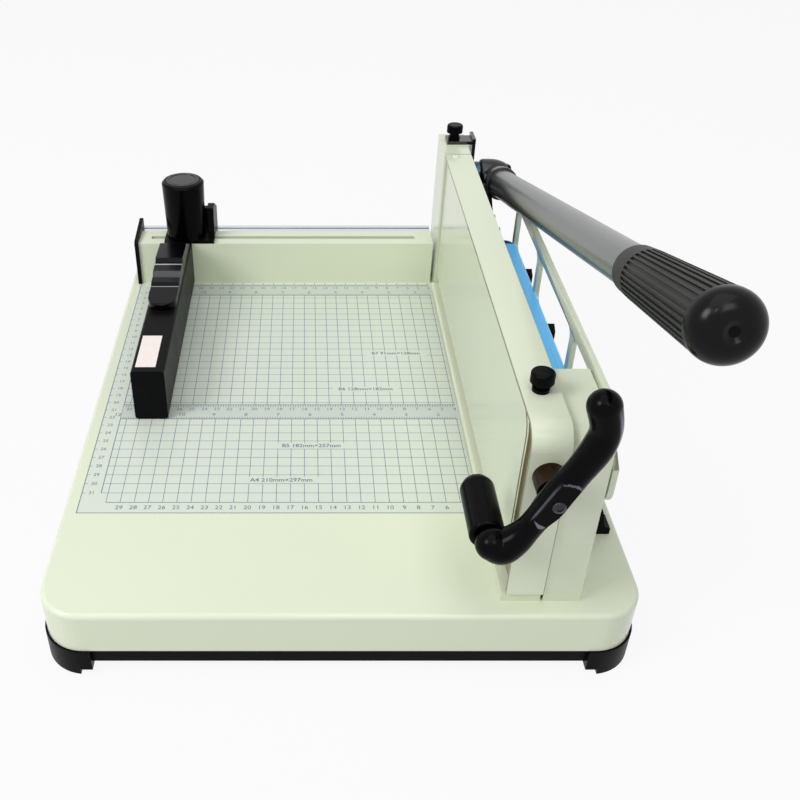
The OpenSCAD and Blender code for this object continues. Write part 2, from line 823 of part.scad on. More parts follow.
module shaft_bevel() {
    color(steel) on_table() translate([shaft_x, gear_y, shaft_z]) rotate([90, 0, 0]) bevel_gear();
}

module lift_bevel() {
    color(steel) on_table() translate([shaft_x, gear_y, shaft_z]) difference() {
        rotate([180 / bevel_teeth, 0, 0]) rotate([0, 90, 0]) bevel_gear();
        x_rod(cross_r, -1, bevel_r + 1);
    }
}

module cross_shaft() {
    color(steel) on_table() translate([0, gear_y, shaft_z]) {
        x_rod(cross_r, panel_right + 0.1, gear_right);
        x_rod(cross_r + 1, shaft_x + bevel_r, gear_left);
    }
}

module lift_gear() {
    color(bronze) on_table() translate([0, gear_y, shaft_z]) difference() {
        across(gear_left, gear_right) rotate(mesh_angle) polygon(spur_points(lift_teeth, gear_m));
        x_rod(cross_r, gear_left - 1, gear_right + 1);
    }
}

module idler_gear() {
    color(steel) on_table() translate([0, idler_y, idler_z]) union() {
        across(gear_left, gear_right) rotate(idler_phase) polygon(spur_points(idler_teeth, gear_m));
        x_rod(cross_r, panel_right + 0.1, gear_left + 0.5);
    }
}

// Rack on the front column, teeth towards the idler
module lift_rack() {
    first = -4;
    last = floor((hood_inner - 3 - rack_gap_z) / rack_pitch);
    tip = tooth_half(gear_m, 0.8 * gear_m);
    foot = tooth_half(gear_m, -1.1 * gear_m);
    root_y = rack_y + 1.1 * gear_m;
    crest_y = rack_y - 0.8 * gear_m;
    low = rack_gap_z + (first + 0.5) * rack_pitch - foot;
    high = rack_gap_z + (last - 0.5) * rack_pitch + foot;
    color(steel) on_table() across(gear_left, gear_right) polygon(concat(
        [[column_y0, high], [column_y0, low]],
        [for (i = [first : last - 1])
            for (c = [[root_y, -foot], [crest_y, -tip], [crest_y, tip], [root_y, foot]])
                [c[0], rack_gap_z + (i + 0.5) * rack_pitch + c[1]]]));
}

// Crank: a round bar in two curves through a boss with a flat front, one to the grip and one to a thick end
function arc_bend(to, sag) = (norm(to) * norm(to) / 4 + sag * sag) / (2 * sag);
function arc_half(to, sag) = asin(norm(to) / 2 / arc_bend(to, sag));

// Children turn about the centre of an arc from the local origin to a point, at a share of its length
module on_arc(to, sag, share) {
    half = arc_half(to, sag);
    rotate(atan2(to[1], to[0])) translate([norm(to) / 2, arc_bend(to, sag) - sag])
        rotate(2 * half * share - 90 - half) children();
}

module curved_arm(to, sag, r, share) {
    on_arc(to, sag, share) rotate_extrude(angle = 2 * arc_half(to, sag) * (1 - share))
        translate([arc_bend(to, sag), 0]) circle(r, $fn = 32);
}

module crank_lever() {
    mid_y = crank_rear - crank_t / 2;
    seat = crank_t / 2 - crank_screw_sink;
    span = 2 * norm(upper_end);
    color(black) on_table() translate([shaft_x, mid_y, shaft_z]) rotate([90, 0, 0]) difference() {
        union() {
            translate([0, 0, -crank_t / 2]) cylinder(h = crank_t, r = boss_r);
            mirror([1, 0, 0]) curved_arm([grip_dx, -grip_dz], arm_sag, arm_r, 0);
            translate([-grip_dx, -grip_dz, 0]) sphere(arm_r + 1);
            curved_arm(upper_end, upper_sag, arm_r, 0);
            curved_arm(upper_end, upper_sag, thick_r, thick_from);
            for (share = [thick_from, 1])
                on_arc(upper_end, upper_sag, share)
                    translate([arc_bend(upper_end, upper_sag), 0, 0]) sphere(thick_cap_r);
        }
        translate([0, 0, -crank_t]) cylinder(h = crank_t + seat, r = shaft_d / 2);
        translate([0, 0, seat - 1]) cylinder(h = crank_t, r = crank_screw_r + 0.4);
        translate([0, 0, crank_t / 2]) cylinder(h = crank_t, r = boss_flat_r);
        translate([-grip_dx, -grip_dz, -crank_t]) cylinder(h = crank_t, r = grip_pin_r);
        translate([0, 0, -crank_t * 1.5]) cylinder(h = crank_t, r = span);
    }
}

module crank_screw() {
    color(black) on_table() translate([shaft_x, 0, shaft_z]) {
        y_rod(crank_screw_r, crank_front + crank_screw_sink - crank_screw_h, crank_front + crank_screw_sink);
        y_rod(2.5, crank_front + crank_screw_sink - 1, crank_front + 15);
    }
}

module crank_pin() {
    color(steel) on_table() translate([shaft_x - grip_dx, 0, shaft_z - grip_dz])
        y_rod(grip_pin_r, crank_rear - crank_t / 2, crank_rear + crank_grip_l - 6);
}

module crank_grip() {
    r = crank_grip_d / 2;
    color(black) on_table() translate([shaft_x - grip_dx, crank_rear + side_gap, shaft_z - grip_dz])
        rotate([-90, 0, 0]) difference() {
            rotate_extrude() union() {
                translate([0, 2]) square([r, crank_grip_l - 7]);
                square([r - 2, crank_grip_l]);
                intersection() {
                    translate([r - 2, 2]) circle(2);
                    square([r, crank_grip_l]);
                }
                intersection() {
                    translate([r - 5, crank_grip_l - 5]) circle(5);
                    square([r, crank_grip_l]);
                }
            }
            translate([0, 0, -1]) cylinder(h = crank_grip_l - 4, r = grip_pin_r + running);
            translate([0, 0, crank_grip_l - 1]) rotate_extrude() translate([r - 2, 0]) square([5, 5]);
        }
}

// Lever

module lever_hub() {
    color(black) on_table() difference() {
        union() {
            translate([0, 0, pivot_z]) x_rod(hub_r, hub_left, hub_right);
            along_lever() translate([0, 0, 8]) cylinder(h = socket_end - 8, r = socket_r);
            along_lever() translate([0, 0, socket_end - socket_lip_l])
                cylinder(h = socket_lip_l, r = socket_r + socket_lip);
            across(hub_left, hub_plate_x)
                polygon([[hub_r - 2, pivot_z], [4, carrier_low - 4], [hub_plate_front, carrier_low - 4],
                    [hub_plate_front, chord_top], [hub_plate_front * 0.7, chord_top + 8],
                    [hub_plate_front * 0.3, pivot_z + 8]]);
        }
        translate([0, 0, pivot_z]) x_rod(hub_bore_r, hub_left - 1, hub_right + 1);
        along_lever() translate([0, 0, tube_start]) cylinder(h = socket_end, r = tube_d / 2);
        for (y = hub_bolt_at)
            translate([0, y, chord_mid]) x_rod(bolt8_r + bore_slip, hub_left - 1, hub_plate_x + 1);
        translate([0, 0, pivot_z]) x_rod(hub_r, hub_right, hub_right + socket_r);
        translate([0, 0, pivot_z]) x_rod(collar_r + 1, 0, hub_left);
    }
}

module hub_bush() {
    color(bronze) on_table() translate([0, 0, pivot_z]) difference() {
        x_rod(hub_bore_r, hub_left, hub_right);
        x_rod(axle_d / 2 + running, hub_left - 1, hub_right + 1);
    }
}

module lever_tube() {
    color(tube_grey) on_table() along_lever() difference() {
        translate([0, 0, tube_start]) cylinder(h = lever_end - tube_start, r = tube_d / 2);
        translate([0, 0, tube_start - 1]) cylinder(h = lever_end, r = tube_d / 2 - tube_wall);
    }
}

// Flared grip with flat-bottomed flutes behind a smooth collar
module lever_grip() {
    r0 = grip_d0 / 2;
    r1 = grip_d1 / 2;
    r_neck = r0 + 0.8;
    lean = atan((r1 - r_neck) / (grip_l - grip_neck));
    color(soft_black) on_table() along_lever() difference() {
        translate([0, 0, grip_start]) rotate_extrude()
            polygon([[tube_d / 2, 0], [r0 - 1, 0], [r0, 1.5], [r_neck, grip_neck], [r1, grip_l],
                [tube_d / 2, grip_l]]);
        for (i = [0 : grip_flutes - 1])
            rotate(360 / grip_flutes * i) translate([r_neck - flute_depth, 0, grip_start + grip_neck])
                rotate([0, lean, 0]) translate([0, -flute_w / 2, 0]) cube([4, flute_w, grip_l]);
    }
}

// Domed end cap with a spigot in the tube; a sunk ring surrounds the screw
module grip_cap() {
    color(black) on_table() along_lever() translate([0, 0, lever_end]) difference() {
        union() {
            rotate_extrude() {
                square([cap_r, cap_dome - cap_round]);
                square([cap_r - cap_round, cap_dome]);
                intersection() {
                    translate([cap_r - cap_round, cap_dome - cap_round]) circle(cap_round);
                    square([cap_r, cap_dome]);
                }
            }
            translate([0, 0, -22]) cylinder(h = 23, r = tube_d / 2 - tube_wall);
        }
        translate([0, 0, cap_dome - cap_sink]) cylinder(h = 6, r = cap_screw_r + 0.4);
        translate([0, 0, cap_dome + 0.9]) rotate_extrude() translate([6.2, 0]) circle(1.9, $fn = 32);
        translate([4, -9, cap_dome - 9]) cylinder(h = 9, r = 0.6);
        translate([0, 0, -12]) cylinder(h = cap_dome + 12, r = 2);
    }
}

module grip_screw() {
    color(black) on_table() along_lever() translate([0, 0, lever_end + cap_dome - cap_sink]) {
        cylinder(h = 1.6, r = cap_screw_r);
        translate([0, 0, -14]) cylinder(h = 14.5, r = 2);
    }
}

// Knife

// Carrier's outer outline in side view, before it is cut off under the lever tube
module carrier_blank() {
    translate([carrier_r - carrier_l, carrier_low])
        square([carrier_rear - carrier_r + carrier_l, carrier_top - carrier_low]);
    translate([-carrier_l, carrier_low + carrier_r])
        square([carrier_r + 1, carrier_top - carrier_low - 2 * carrier_r]);
    for (z = [carrier_low + carrier_r, carrier_top - carrier_r])
        translate([carrier_r - carrier_l, z]) circle(carrier_r);
}

// The windows between the struts
module carrier_windows() {
    high = carrier_top - top_chord_h;
    for (i = [0 : len(struts_at) - 1]) {
        back = struts_at[i] - strut_w / 2;
        front = i < len(struts_at) - 1 ? struts_at[i + 1] + strut_w / 2 : -carrier_l + strut_w + 2;
        translate([(back + front) / 2, (chord_top + high) / 2])
            rounded_rect(back - front, high - chord_top, window_r);
    }
}

module knife_carrier() {
    color(cream) on_table() difference() {
        across(carrier_x, carrier_right) difference() {
            carrier_blank();
            carrier_windows();
        }
        along_lever() translate([0, 0, tube_start]) cylinder(h = lever_end, r = tube_d / 2 + running);
        for (y = spacer_at)
            translate([0, y, chord_mid]) x_rod(bolt8_r + bore_slip, carrier_x - 1, carrier_right + 1);
    }
}

module carrier_spacers() {
    color(steel) on_table() for (y = spacer_at)
        translate([0, y, chord_mid]) difference() {
            x_rod(spacer_r, spacer_x, carrier_x);
            x_rod(bolt8_r + bore_slip, spacer_x - 1, carrier_x + 1);
        }
}

module carrier_bolts() {
    tip = holder_x + 0.5;
    color(steel) on_table() {
        for (y = spacer_at)
            translate([0, y, chord_mid]) hex_bolt_x(carrier_right, tip, bolt8_head_h, bolt8_head_r, bolt8_r);
        for (y = hub_bolt_at)
            translate([0, y, chord_mid]) hex_bolt_x(hub_plate_x, tip, bolt8_head_h, bolt8_head_r, bolt8_r);
    }
}

module knife_holder() {
    color(soft_black) on_table() difference() {
        block([holder_x, -holder_l, holder_low], [spacer_x, 0, holder_top]);
        for (y = concat(spacer_at, hub_bolt_at))
            translate([0, y, chord_mid]) x_rod(bolt8_r, holder_x + 0.4, spacer_x + 1);
        for (y = blade_bolt_at)
            translate([0, y, blade_bolt_z]) x_rod(bolt_r + bore_slip, holder_x - 1, spacer_x + 1);
        translate([0, 0, pivot_z]) x_rod(collar_r + 1, holder_x - 1, spacer_x + 1);
    }
}

// Left face upright on the cutting line, ground bevel on the right
module blade() {
    bevel_z = rest_gap + blade_t * 2.6;
    color(steel) on_table() difference() {
        lengthwise(-blade_l, 0)
            polygon([[0, rest_gap], [0, blade_top], [blade_t, blade_top], [blade_t, bevel_z]]);
        for (y = blade_bolt_at)
            translate([0, y, blade_bolt_z]) x_rod(bolt_r, 1, blade_t + 1);
    }
}

module blade_bolts() {
    color(steel) on_table() for (y = blade_bolt_at)
        translate([0, y, blade_bolt_z]) hex_bolt_x(spacer_x, 1.2, bolt_head_h, bolt_head_r, bolt_r);
}

// Blue strip that closes the gap between holder and carrier
module blade_guard() {
    color(guard_blue) on_table()
        block([spacer_x, -holder_l, chord_top], [carrier_x, guard_rear, chord_top + guard_t]);
}

base_shell();
bottom_tray();
corner_feet();
foot_pads();
cutting_stick();
fence();
fence_rail();
fence_end_plate();
fence_screws();
front_column();
rear_column();
column_bolts();
lift_rack();
pivot_axle();
axle_nut();
axle_keeper();
rear_thumb_screw();
right_post();
side_stop();
guide_bar();
guide_arm();
guide_carriage();
slot_nut();
lock_stud();
lock_knob();
press_hood();
press_panel();
press_foot();
press_pad();
front_thumb_screw();
shaft_bush();
gear_bracket();
clamp_shaft();
shaft_bevel();
crank_lever();
crank_screw();
crank_pin();
crank_grip();
cross_shaft();
lift_bevel();
lift_gear();
idler_gear();
lever_hub();
hub_bush();
lever_tube();
lever_grip();
grip_cap();
grip_screw();
knife_carrier();
carrier_spacers();
carrier_bolts();
knife_holder();
blade();
blade_bolts();
blade_guard();
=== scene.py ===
"""Finishes, printed table and small fittings for a lever cutter for stacks of paper."""
import math

import bmesh
import bpy
from mathutils import Matrix, Vector


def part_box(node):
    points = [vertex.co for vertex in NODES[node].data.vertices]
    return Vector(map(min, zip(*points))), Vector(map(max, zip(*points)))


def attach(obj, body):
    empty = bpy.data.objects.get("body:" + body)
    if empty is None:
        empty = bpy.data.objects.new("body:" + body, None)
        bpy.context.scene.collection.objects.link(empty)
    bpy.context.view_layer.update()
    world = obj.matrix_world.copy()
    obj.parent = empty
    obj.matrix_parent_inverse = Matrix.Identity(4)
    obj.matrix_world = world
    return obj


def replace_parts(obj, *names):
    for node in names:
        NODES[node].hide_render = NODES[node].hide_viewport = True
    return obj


bl_info = {
    "name": "Stack cutter dressing",
    "version": (1, 0, 0),
    "blender": (4, 5, 0),
    "location": "View3D > Sidebar > Cutter",
    "description": "Finishes, printed table and small fittings for a lever paper cutter",
    "category": "Object",
}

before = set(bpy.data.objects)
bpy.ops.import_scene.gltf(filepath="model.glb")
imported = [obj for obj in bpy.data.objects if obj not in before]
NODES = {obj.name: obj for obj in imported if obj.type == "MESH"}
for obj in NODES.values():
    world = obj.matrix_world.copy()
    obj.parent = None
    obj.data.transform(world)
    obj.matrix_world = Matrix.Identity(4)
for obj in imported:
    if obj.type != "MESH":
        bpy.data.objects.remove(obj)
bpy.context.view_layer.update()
MM = 0.001
INCH = 25.4
# Edges that turn by more than this stay sharp
SHARP = math.radians(35)
# Rise of the closed lever, and the length in metres over which its plating brightens
LEVER_TILT = math.radians(16)
TUBE_FADE = 0.36
# Painted highlights across the guide's arm, along the edges of its steps: distance from the fence and half
# width in millimetres, strength
ARM_HIGHLIGHTS = ((-70.5, 1.0, 0.95), (-86, 3.2, 0.14), (-101.5, 0.6, 0.6))
ARM_WANDER = 0.5 * MM
# Vertex attribute that tells where the crank gets painted highlights
HIGHLIGHT_LAYER = "rub"
# Dust on black paint, chalk on rubber, bare paint in worn ink
DUST, CHALK, BARE = (0.04, 0.04, 0.045), (0.1, 0.1, 0.1), (0.7, 0.75, 0.62)
EVEN = (1, 1, 1)

# The table's own axes: X from the cutting line, Y from the fence's face, Z from the table's top
CUT_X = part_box("blade")[0].x
FENCE_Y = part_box("fence")[0].y
TABLE_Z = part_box("base_shell")[1].z
TABLE = Vector((CUT_X, FENCE_Y, TABLE_Z))


def on_table(x, y, z=0.0):
    """A point given in millimetres on the table's own axes, in the frame's metres."""
    return TABLE + Vector((x, y, z)) * MM


def srgb(r, g, b):
    """An 8-bit screen colour as linear values."""
    def line(c):
        c /= 255
        return c / 12.92 if c <= 0.04045 else ((c + 0.055) / 1.055) ** 2.4
    return (line(r), line(g), line(b))


class CutterFinish(bpy.types.PropertyGroup):
    """Colours of the painted, moulded and metal parts."""

    def tint(title, words, value):
        return bpy.props.FloatVectorProperty(
            name=title, description=words, subtype="COLOR", size=3, min=0, max=1, default=value)

    enamel: tint("Enamel", "Cream paint of the base, fence and press beam", srgb(224, 231, 205))
    black_paint: tint("Black paint", "Satin black of the guide, hub and tray", srgb(5, 5, 6))
    black_gloss: tint("Black gloss", "Moulded black of the crank, knob and cap", srgb(4, 4, 6))
    tube: tint("Tube", "Plated lever tube", srgb(126, 130, 129))
    grip: tint("Grip", "Fluted lever grip", srgb(41, 42, 38))
    steel: tint("Steel", "Blade, bolts and shafts", srgb(196, 200, 204))
    rail: tint("Rail", "Drawn aluminium of the rail", srgb(225, 229, 232))
    bronze: tint("Bronze", "Bushes and lift gear", srgb(54, 39, 28))
    guard: tint("Guard", "Blue strip between hood and knife", srgb(104, 196, 255))
    guard_end: tint("Guard end", "Dark blue end of the strip", srgb(24, 74, 150))
    ink: tint("Ink", "Printed lines and numbers", srgb(84, 97, 138))
    field: tint("Field", "Ground under the printed ruling", srgb(214, 222, 208))
    stick: tint("Cutting stick", "Pale plastic under the knife", srgb(216, 210, 190))
    blued: tint("Blued steel", "Collar of the pivot axle", srgb(66, 92, 108))
    plug: tint("Plug", "Pale plug in the hood and the knob's face", srgb(236, 240, 232))
    label: tint("Label", "Blank label on the side guide", srgb(248, 236, 230))
    # Grey of the painted highlights on the crank; a trace of it also greys the boss screw and the hub
    rubbed: tint("Painted highlight grey", "Painted highlights on the crank", srgb(186, 192, 204))
    # Painted shade for the groove round the press panel and for the line along the hood's open edge
    sunk: tint("Sunk edge", "Shaded enamel in the groove round the press panel", srgb(134, 127, 98))

    del tint


class CutterPrint(bpy.types.PropertyGroup):
    """Measures of the ruling printed on the table."""

    def length(title, words, value):
        return bpy.props.FloatProperty(
            name=title, description=words, unit="LENGTH", min=0, default=value * MM)

    cell: length("Cell", "Pitch of the ruling", 10)
    fine: length("Line", "Width of a printed line", 0.45)
    zero: length("Zero", "Distance of the ruler's zero to the right of the cutting line", 11.7)
    inch: length("Inch zero", "Distance of the inch scale's zero to the right of the cutting line", 8.6)
    digit: length("Digit height", "Height of the printed numbers", 5.6)
    bold: length("Bold", "Growth of the notes' strokes on each side", 0.09)
    film: length("Film", "Thickness of each printed layer", 0.03)

    del length


class CutterStage(bpy.types.PropertyGroup):
    """Viewpoint and light."""
    eye: bpy.props.FloatVectorProperty(
        name="Eye", description="Viewpoint on the table's own axes", subtype="TRANSLATION", size=3,
        default=(-148.3 * MM, -824 * MM, 451 * MM))
    dip: bpy.props.FloatProperty(
        name="Dip", description="Angle of the view below the horizon", subtype="ANGLE",
        default=math.radians(35.7))
    lens: bpy.props.FloatProperty(name="Lens", description="Focal length on a 36 mm sensor", default=42.93)
    shift: bpy.props.FloatProperty(name="Shift", description="Sideways shift of the picture", default=0.1195)
    floor_tint: bpy.props.FloatVectorProperty(
        name="Floor", description="Floor colour", subtype="COLOR", size=3, default=(0.66, 0.66, 0.66))
    floor_clear: bpy.props.FloatProperty(
        name="Floor clearness", description="Share of plain white in the floor as the camera sees it",
        subtype="FACTOR", min=0, max=1, default=0.9)


def operation(kind, swapped=False):
    """Method that joins a wire and another value by one Math node."""
    def method(self, other=0):
        first, second = (other, self) if swapped else (self, other)
        node = self.shade.node("ShaderNodeMath", {"operation": kind}, {0: first, 1: second})
        return Wire(self.shade, node.outputs[0])
    return method


class Wire:
    """A shader socket with arithmetic: an expression on wires adds Math nodes."""

    def __init__(self, shade, socket):
        self.shade = shade
        self.socket = socket

    __add__ = __radd__ = operation("ADD")
    __sub__, __rsub__ = operation("SUBTRACT"), operation("SUBTRACT", swapped=True)
    __mul__ = __rmul__ = operation("MULTIPLY")
    __truediv__, __rtruediv__ = operation("DIVIDE"), operation("DIVIDE", swapped=True)
    below = operation("LESS_THAN")
    larger = operation("MAXIMUM")
    size = operation("ABSOLUTE")


class Nodes:
    """A node tree under construction: every node comes from one method."""

    def __init__(self, tree):
        self.tree = tree
        tree.nodes.clear()

    def node(self, kind, settings=None, sockets=None):
        made = self.tree.nodes.new(kind)
        for key, value in (settings or {}).items():
            setattr(made, key, value)
        for key, value in (sockets or {}).items():
            self.feed(self.socket(made, key), value)
        return made

    @staticmethod
    def socket(node, key):
        if isinstance(key, int):
            return node.inputs[key]
        return next(s for s in node.inputs if key in (s.identifier, s.name))

    def feed(self, socket, value):
        if isinstance(value, Wire):
            self.tree.links.new(value.socket, socket)
        elif isinstance(value, bpy.types.NodeSocket):
            self.tree.links.new(value, socket)
        elif hasattr(value, "__len__") and len(value) == 3 and socket.type == "RGBA":
            socket.default_value = (*value, 1)
        else:
            socket.default_value = value

    def clear_rays(self):
        """One for rays that should meet the white background: from the camera, a mirror or glass."""
        path = self.node("ShaderNodeLightPath").outputs
        seen = Wire(self, path["Is Camera Ray"]).larger(path["Is Glossy Ray"])
        return seen.larger(path["Is Transmission Ray"])


class Shade(Nodes):
    """One material under construction, with its Principled shader."""

    def __init__(self, name):
        self.material = bpy.data.materials.new(name)
        self.material.use_nodes = True
        super().__init__(self.material.node_tree)
        self.surface = self.node("ShaderNodeBsdfPrincipled")
        self.end = self.node("ShaderNodeOutputMaterial", {}, {"Surface": self.surface.outputs[0]})

    def put(self, **values):
        """Set the Principled shader's sockets, with spaces in their names written as underscores."""
        for key, value in values.items():
            self.feed(self.surface.inputs[key.replace("_", " ")], value)

    def place(self, stretch=EVEN):
        """Object coordinates, stretched along the frame's axes."""
        where = self.node("ShaderNodeTexCoord").outputs["Object"]
        return self.node("ShaderNodeMapping", {}, {"Vector": where, "Scale": stretch}).outputs[0]

    def axis(self, index):
        where = self.node("ShaderNodeTexCoord").outputs["Object"]
        return Wire(self, self.node("ShaderNodeSeparateXYZ", {}, {0: where}).outputs[index])

    def noise(self, scale, detail=3.0, stretch=EVEN):
        made = self.node("ShaderNodeTexNoise", {"noise_dimensions": "3D"},
                         {"Vector": self.place(stretch), "Scale": scale, "Detail": detail})
        return Wire(self, made.outputs["Fac"])

    def specks(self, scale):
        made = self.node("ShaderNodeTexVoronoi", {}, {"Vector": self.place(), "Scale": scale})
        return Wire(self, made.outputs["Distance"])

    def mix(self, first, second, factor):
        made = self.node("ShaderNodeMix", {"data_type": "RGBA"},
                         {"Factor_Float": factor, "A_Color": first, "B_Color": second})
        return next(s for s in made.outputs if s.identifier == "Result_Color")

    def bump(self, height, strength, distance):
        made = self.node("ShaderNodeBump", {},
                         {"Height": height, "Strength": strength, "Distance": distance})
        return made.outputs[0]


def darker(tint, share):
    return tuple(c * share for c in tint)


def toward(tint, other, share):
    return tuple(a + (b - a) * share for a, b in zip(tint, other))


def enamel_paint(name, tint):
    """Stove enamel: faint orange peel, slow drift of tone and dull handling marks."""
    s = Shade(name)
    drift = s.noise(scale=9, detail=2)
    handled = s.noise(scale=38, detail=4, stretch=(1, 0.4, 1))
    peel = s.noise(scale=700, detail=2) + s.noise(scale=190, detail=1) * 0.6
    s.put(Base_Color=s.mix(darker(tint, 0.965), tint, drift), Roughness=0.13 + handled * 0.09,
          Specular_IOR_Level=0.45, Normal=s.bump(peel, strength=0.018, distance=0.4 * MM))
    return s.material


def satin_black(tint):
    """Textured black paint with dust grey in its tone."""
    s = Shade("satin_black")
    cloud = s.noise(scale=45)
    s.put(Base_Color=s.mix(tint, toward(tint, DUST, 0.12), cloud), Roughness=0.28 + cloud * 0.14,
          Specular_IOR_Level=0.05, Normal=s.bump(s.specks(scale=900), strength=0.08, distance=0.3 * MM))
    return s.material


def gloss_black(name, tint, shine=0.06):
    """Polished moulding with faint swirl marks."""
    s = Shade(name)
    swirl = s.noise(scale=60, detail=4, stretch=(1, 1, 0.5))
    ripple = s.noise(scale=240, detail=2)
    s.put(Base_Color=s.mix(tint, darker(tint, 0.6), swirl), Roughness=0.16 + swirl * 0.12,
          Specular_IOR_Level=shine, Normal=s.bump(ripple, strength=0.03, distance=0.4 * MM))
    return s.material


def rubbed_black(tint, highlight_tint):
    """Polished casting, with painted grey highlights where the mesh's layer says so."""
    s = Shade("rubbed_black")
    highlight = Wire(s, s.node("ShaderNodeAttribute", {"attribute_name": HIGHLIGHT_LAYER}).outputs["Fac"])
    swirl = s.noise(scale=60, detail=4, stretch=(1, 1, 0.5))
    s.put(Base_Color=s.mix(tint, highlight_tint, highlight * (0.55 + swirl * 0.5)), Roughness=0.14 + swirl * 0.1,
          Specular_IOR_Level=0.06)
    return s.material


def worn_arm(tint, highlight_tint):
    """Polished black of the guide's arm, with painted highlights along the edges of its steps."""
    s = Shade("worn_arm")
    along = s.axis(1) - FENCE_Y
    wander = s.noise(scale=70, detail=2, stretch=(1, 0.1, 1)) * ARM_WANDER
    highlight = None
    for middle, half, share in ARM_HIGHLIGHTS:
        band = (along - middle * MM + wander - ARM_WANDER / 2).size().below(half * MM) * share
        highlight = band if highlight is None else highlight.larger(band)
    s.put(Base_Color=s.mix(tint, highlight_tint, highlight), Metallic=highlight * 0.5, Specular_IOR_Level=0.1,
          Roughness=0.14 + s.noise(scale=60, detail=4) * 0.12)
    return s.material


def grip_moulding(tint):
    """Vinyl grip: matt, with fine grain and shine where hands rub."""
    s = Shade("grip_moulding")
    rub = s.noise(scale=26)
    grain = s.noise(scale=1400, detail=2)
    s.put(Base_Color=s.mix(darker(tint, 0.72), tint, rub), Roughness=0.42 + rub * 0.16,
          Specular_IOR_Level=0.22, Normal=s.bump(grain, strength=0.12, distance=0.3 * MM))
    return s.material


def plated_tube(tint):
    """Bright plated tube with drawing streaks along the lever, darker towards the hub."""
    s = Shade("plated_tube")
    streak = s.noise(scale=300, stretch=(1, 0.03, 0.1))
    cloud = s.noise(scale=14)
    along = (FENCE_Y - s.axis(1)) / TUBE_FADE + cloud * 0.1
    plate = s.mix(darker(tint, 0.8), tint, streak)
    s.put(Base_Color=s.mix(darker(tint, 0.34), plate, along), Metallic=0.85, Roughness=0.2 + cloud * 0.12,
          Normal=s.bump(streak, strength=0.03, distance=0.3 * MM))
    return s.material


def bright_metal(name, tint, stretch, rough):
    """Bare metal with a grain along one axis."""
    s = Shade(name)
    grain = s.noise(scale=900, detail=4, stretch=stretch)
    stain = s.noise(scale=30)
    s.put(Base_Color=s.mix(darker(tint, 0.78), tint, grain * 0.6 + stain * 0.4), Metallic=1.0,
          Roughness=rough + grain * 0.12, Normal=s.bump(grain, strength=0.05, distance=0.2 * MM))
    return s.material


def rubber_matt(tint):
    """Dull rubber with chalky patches and a fine grain."""
    s = Shade("rubber_matt")
    grain = s.noise(scale=1200, detail=2)
    s.put(Base_Color=s.mix(tint, toward(tint, CHALK, 0.3), s.noise(scale=60)), Roughness=0.7,
          Normal=s.bump(grain, strength=0.3, distance=0.3 * MM))
    return s.material


def guard_plastic(name, tint, painted_glow=0.0):
    """Clear-toned plastic with light scuffs along its length, and a painted glow that brightens it where it
    lies in shade.
    """
    s = Shade(name)
    scuff = s.noise(scale=420, stretch=(1, 0.05, 1))
    s.put(Emission_Color=s.mix(darker(tint, 0.8), tint, scuff), Emission_Strength=painted_glow,
          Base_Color=s.mix(darker(tint, 0.86), tint, scuff), Roughness=0.2 + scuff * 0.14,
          Specular_IOR_Level=0.25)
    return s.material


def blued_steel(dark, blue, limit):
    """Blackened steel, blued to the left of a limit across the table."""
    s = Shade("blued_steel")
    grain = s.noise(scale=500)
    left = s.axis(0).below(limit)
    s.put(Base_Color=s.mix(dark, s.mix(darker(blue, 0.7), blue, grain), left), Metallic=left * 0.8,
          Roughness=0.24 + grain * 0.12, Specular_IOR_Level=0.15)
    return s.material


def print_ink(name, tint):
    """Screen-printed line: solid, with a little loss in the ink."""
    s = Shade(name)
    s.put(Base_Color=s.mix(tint, toward(tint, BARE, 0.25), s.noise(scale=420)), Roughness=0.5)
    return s.material


def print_field(name, tint):
    """Printed ground under the ruling, with a slow drift of tone."""
    s = Shade(name)
    s.put(Base_Color=s.mix(darker(tint, 0.96), tint, s.noise(scale=14)),
          Roughness=0.3 + s.noise(scale=40) * 0.1)
    return s.material


def paper_label(tint):
    """Uncoated paper with a little fibre."""
    s = Shade("paper_label")
    fibre = s.noise(scale=1500, detail=2)
    s.put(Base_Color=s.mix(darker(tint, 0.9), tint, s.noise(scale=160, detail=4)), Roughness=0.6,
          Normal=s.bump(fibre, strength=0.15, distance=0.2 * MM))
    return s.material


def new_piece(name, mesh, body, material):
    """Put a finished mesh in the scene, carried by a CAD body."""
    made = bpy.data.objects.new(name, mesh)
    bpy.context.scene.collection.objects.link(made)
    mesh.materials.clear()
    mesh.materials.append(material)
    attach(made, body)
    return made


def paint(nodes, material):
    """Give CAD nodes one material."""
    for name in nodes:
        NODES[name].data.materials.clear()
        NODES[name].data.materials.append(material)


def flat(x0, y0, x1, y1, z):
    """Corners of a level rectangle, seen from above against the clock."""
    return [(x0, y0, z), (x1, y0, z), (x1, y1, z), (x0, y1, z)]


def angles(turn, steps):
    """Even angles from nothing up to a turn."""
    return [turn * i / steps for i in range(steps + 1)]


def quad_mesh(name, corners):
    """Flat mesh of quads, each given by four points in order."""
    mesh = bpy.data.meshes.new(name)
    points = [p for four in corners for p in four]
    faces = [tuple(range(i, i + 4)) for i in range(0, len(points), 4)]
    mesh.from_pydata(points, [], faces)
    return mesh


